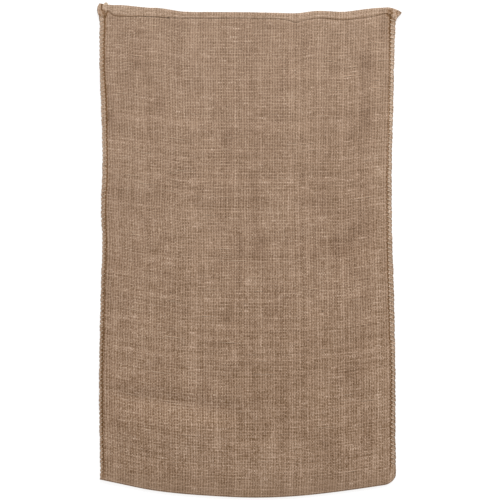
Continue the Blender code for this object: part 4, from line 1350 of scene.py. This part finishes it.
def speck_lines(seed):
    """Centre lines and radii of the specks: the ones listed and smaller ones strewn over the
    front, each short and straight, along a yarn of either set, and thinner to both ends."""
    draw = np.random.default_rng(seed)
    x = np.concatenate([SPECKS[:, 0], draw.uniform(*SPECK_X, SPECK_COUNT)])
    y = np.concatenate([SPECKS[:, 1], draw.uniform(*SPECK_Y, SPECK_COUNT)])
    length = np.concatenate([SPECKS[:, 2], draw.uniform(*SPECK_LENGTHS, SPECK_COUNT)])
    thick = np.concatenate([SPECKS[:, 3], draw.uniform(*SPECK_THICKNESSES, SPECK_COUNT)])
    turn = draw.choice([0.0, np.pi / 2], len(x), p=[0.7, 0.3]) + draw.normal(0, 0.08, len(x))
    share = np.linspace(-1, 1, SPECK_POINTS)[None]
    line_x = x[:, None] + np.cos(turn)[:, None] * share * length[:, None] / 2
    line_y = y[:, None] + np.sin(turn)[:, None] * share * length[:, None] / 2
    line_z = front_middle(line_x, line_y) + 1.3 * hem_layer(x, y) + CLOTH / 2 - 0.00002
    radius = 0.5 * thick[:, None] * np.clip(1 - np.abs(share) ** 2, 0.05, 1)
    return np.stack([line_x, line_y, line_z], axis=2), radius


def bark_material():
    """Dark brown, streaked along, a little glossier than the yarn."""
    made, tree, shader = material_of("jute_bark", 0.6, 0.3)
    length = tree.nodes.new("ShaderNodeUVMap")
    length.uv_map = "Length"
    round_, along, _ = parts(tree, length.outputs[0])
    streaks = noise(tree, pair(tree, calc(tree, "MULTIPLY", round_, 7.0),
                               calc(tree, "MULTIPLY", along, 300.0)), 1.0, 2.0)[0]
    tree.links.new(blend(tree, streaks, (0.060, 0.034, 0.018, 1), (0.160, 0.095, 0.052, 1)),
                   shader.inputs["Base Color"])
    return made


speck_places, speck_radius = speck_lines(51)
specks = tube("bark_specks", speck_places, speck_radius, 6, bark_material(),
              OFF_TABLE, squash=0.7)
belongs_to_sack(specks)


# ---- Stray fibres ------------------------------------------------------------------------
# Jute is never quite smooth: ends of fibre stand out of the yarns, most along the seams and
# the mouth, where the cloth is handled.

FIBRE = 0.00007              # radius
FIBRE_POINTS = 7
FIBRE_LENGTHS = (0.002, 0.0075)
EDGE_FIBRES = 900            # half of them along the mouth, half along the seams
SEAM_SPAN = (-0.46, 0.49)
MOUTH_SPAN = (-0.295, 0.290)
PANEL_FIBRES = 900
PANEL_X = (-0.280, 0.275)
PANEL_Y = (-0.460, 0.460)
ROOTED_X = (-0.2985, 0.2890)      # a fibre starts at the height of the cloth within these


def fibre_lines(seed):
    """Centre lines of the fibres: each starts in the cloth, at the edges or strewn over the
    front, and runs off in a curl that bends more the farther it goes."""
    draw = np.random.default_rng(seed)
    y_side = draw.uniform(*SEAM_SPAN, EDGE_FIBRES)
    side = draw.choice([-1, 1], EDGE_FIBRES)
    inset = draw.uniform(0, 0.003, EDGE_FIBRES)
    x_side = np.where(side > 0, smooth_line(SIDES, 2, y_side) - inset,
                      smooth_line(SIDES, 1, y_side) + inset)
    heading_side = np.where(side > 0, 0.0, np.pi) + draw.normal(0, 0.9, EDGE_FIBRES)
    along_mouth = EDGE_FIBRES // 2
    x_side[:along_mouth] = draw.uniform(*MOUTH_SPAN, along_mouth)
    y_side[:along_mouth] = smooth_line(MOUTH, 1, x_side[:along_mouth]) - 0.0015
    heading_side[:along_mouth] = np.pi / 2 + draw.normal(0, 0.9, along_mouth)
    x = np.concatenate([x_side, draw.uniform(*PANEL_X, PANEL_FIBRES)])
    y = np.concatenate([y_side, draw.uniform(*PANEL_Y, PANEL_FIBRES)])
    count = EDGE_FIBRES + PANEL_FIBRES
    heading = np.concatenate([heading_side, draw.uniform(0, 2 * np.pi, PANEL_FIBRES)])
    length = draw.uniform(*FIBRE_LENGTHS, count)
    bend = draw.normal(0, 1.3, count)
    lift = np.concatenate([draw.uniform(0.0, 0.0012, EDGE_FIBRES),
                           draw.uniform(0.0003, 0.0016, PANEL_FIBRES)])
    share = np.linspace(0, 1, FIBRE_POINTS)[None]
    turn = heading[:, None] + bend[:, None] * share
    step = length[:, None] / (FIBRE_POINTS - 1)
    run_x = np.cumsum(np.cos(turn) * step, axis=1) - np.cos(turn[:, :1]) * step
    run_y = np.cumsum(np.sin(turn) * step, axis=1) - np.sin(turn[:, :1]) * step
    line_x, line_y = x[:, None] + run_x, y[:, None] + run_y
    base = front_middle(np.clip(x, *ROOTED_X), y)[:, None] + hem_layer(x, y) + CLOTH / 2
    line_z = base - 0.0002 + lift[:, None] * np.sin(np.pi * 0.8 * share)
    outside = np.zeros_like(line_x)
    outside[:EDGE_FIBRES] = share
    line_z = np.maximum(line_z - 0.002 * outside ** 2, 0.0004)
    return np.stack([line_x, line_y, line_z], axis=2)


fibre_material, fibre_tree, fibre_shader = material_of("stray_fibre", 0.7, 0.3)
fibre_where = fibre_tree.nodes.new("ShaderNodeTexCoord").outputs["Object"]
fibre_tree.links.new(
    blend(fibre_tree, noise(fibre_tree, fibre_where, 140.0, 1.0, "3D")[0],
          (0.380, 0.270, 0.185, 1), (0.780, 0.640, 0.500, 1)),
    fibre_shader.inputs["Base Color"])
fibres = tube("stray_fibres", fibre_lines(41), FIBRE, 3, fibre_material, OFF_TABLE)
belongs_to_sack(fibres)
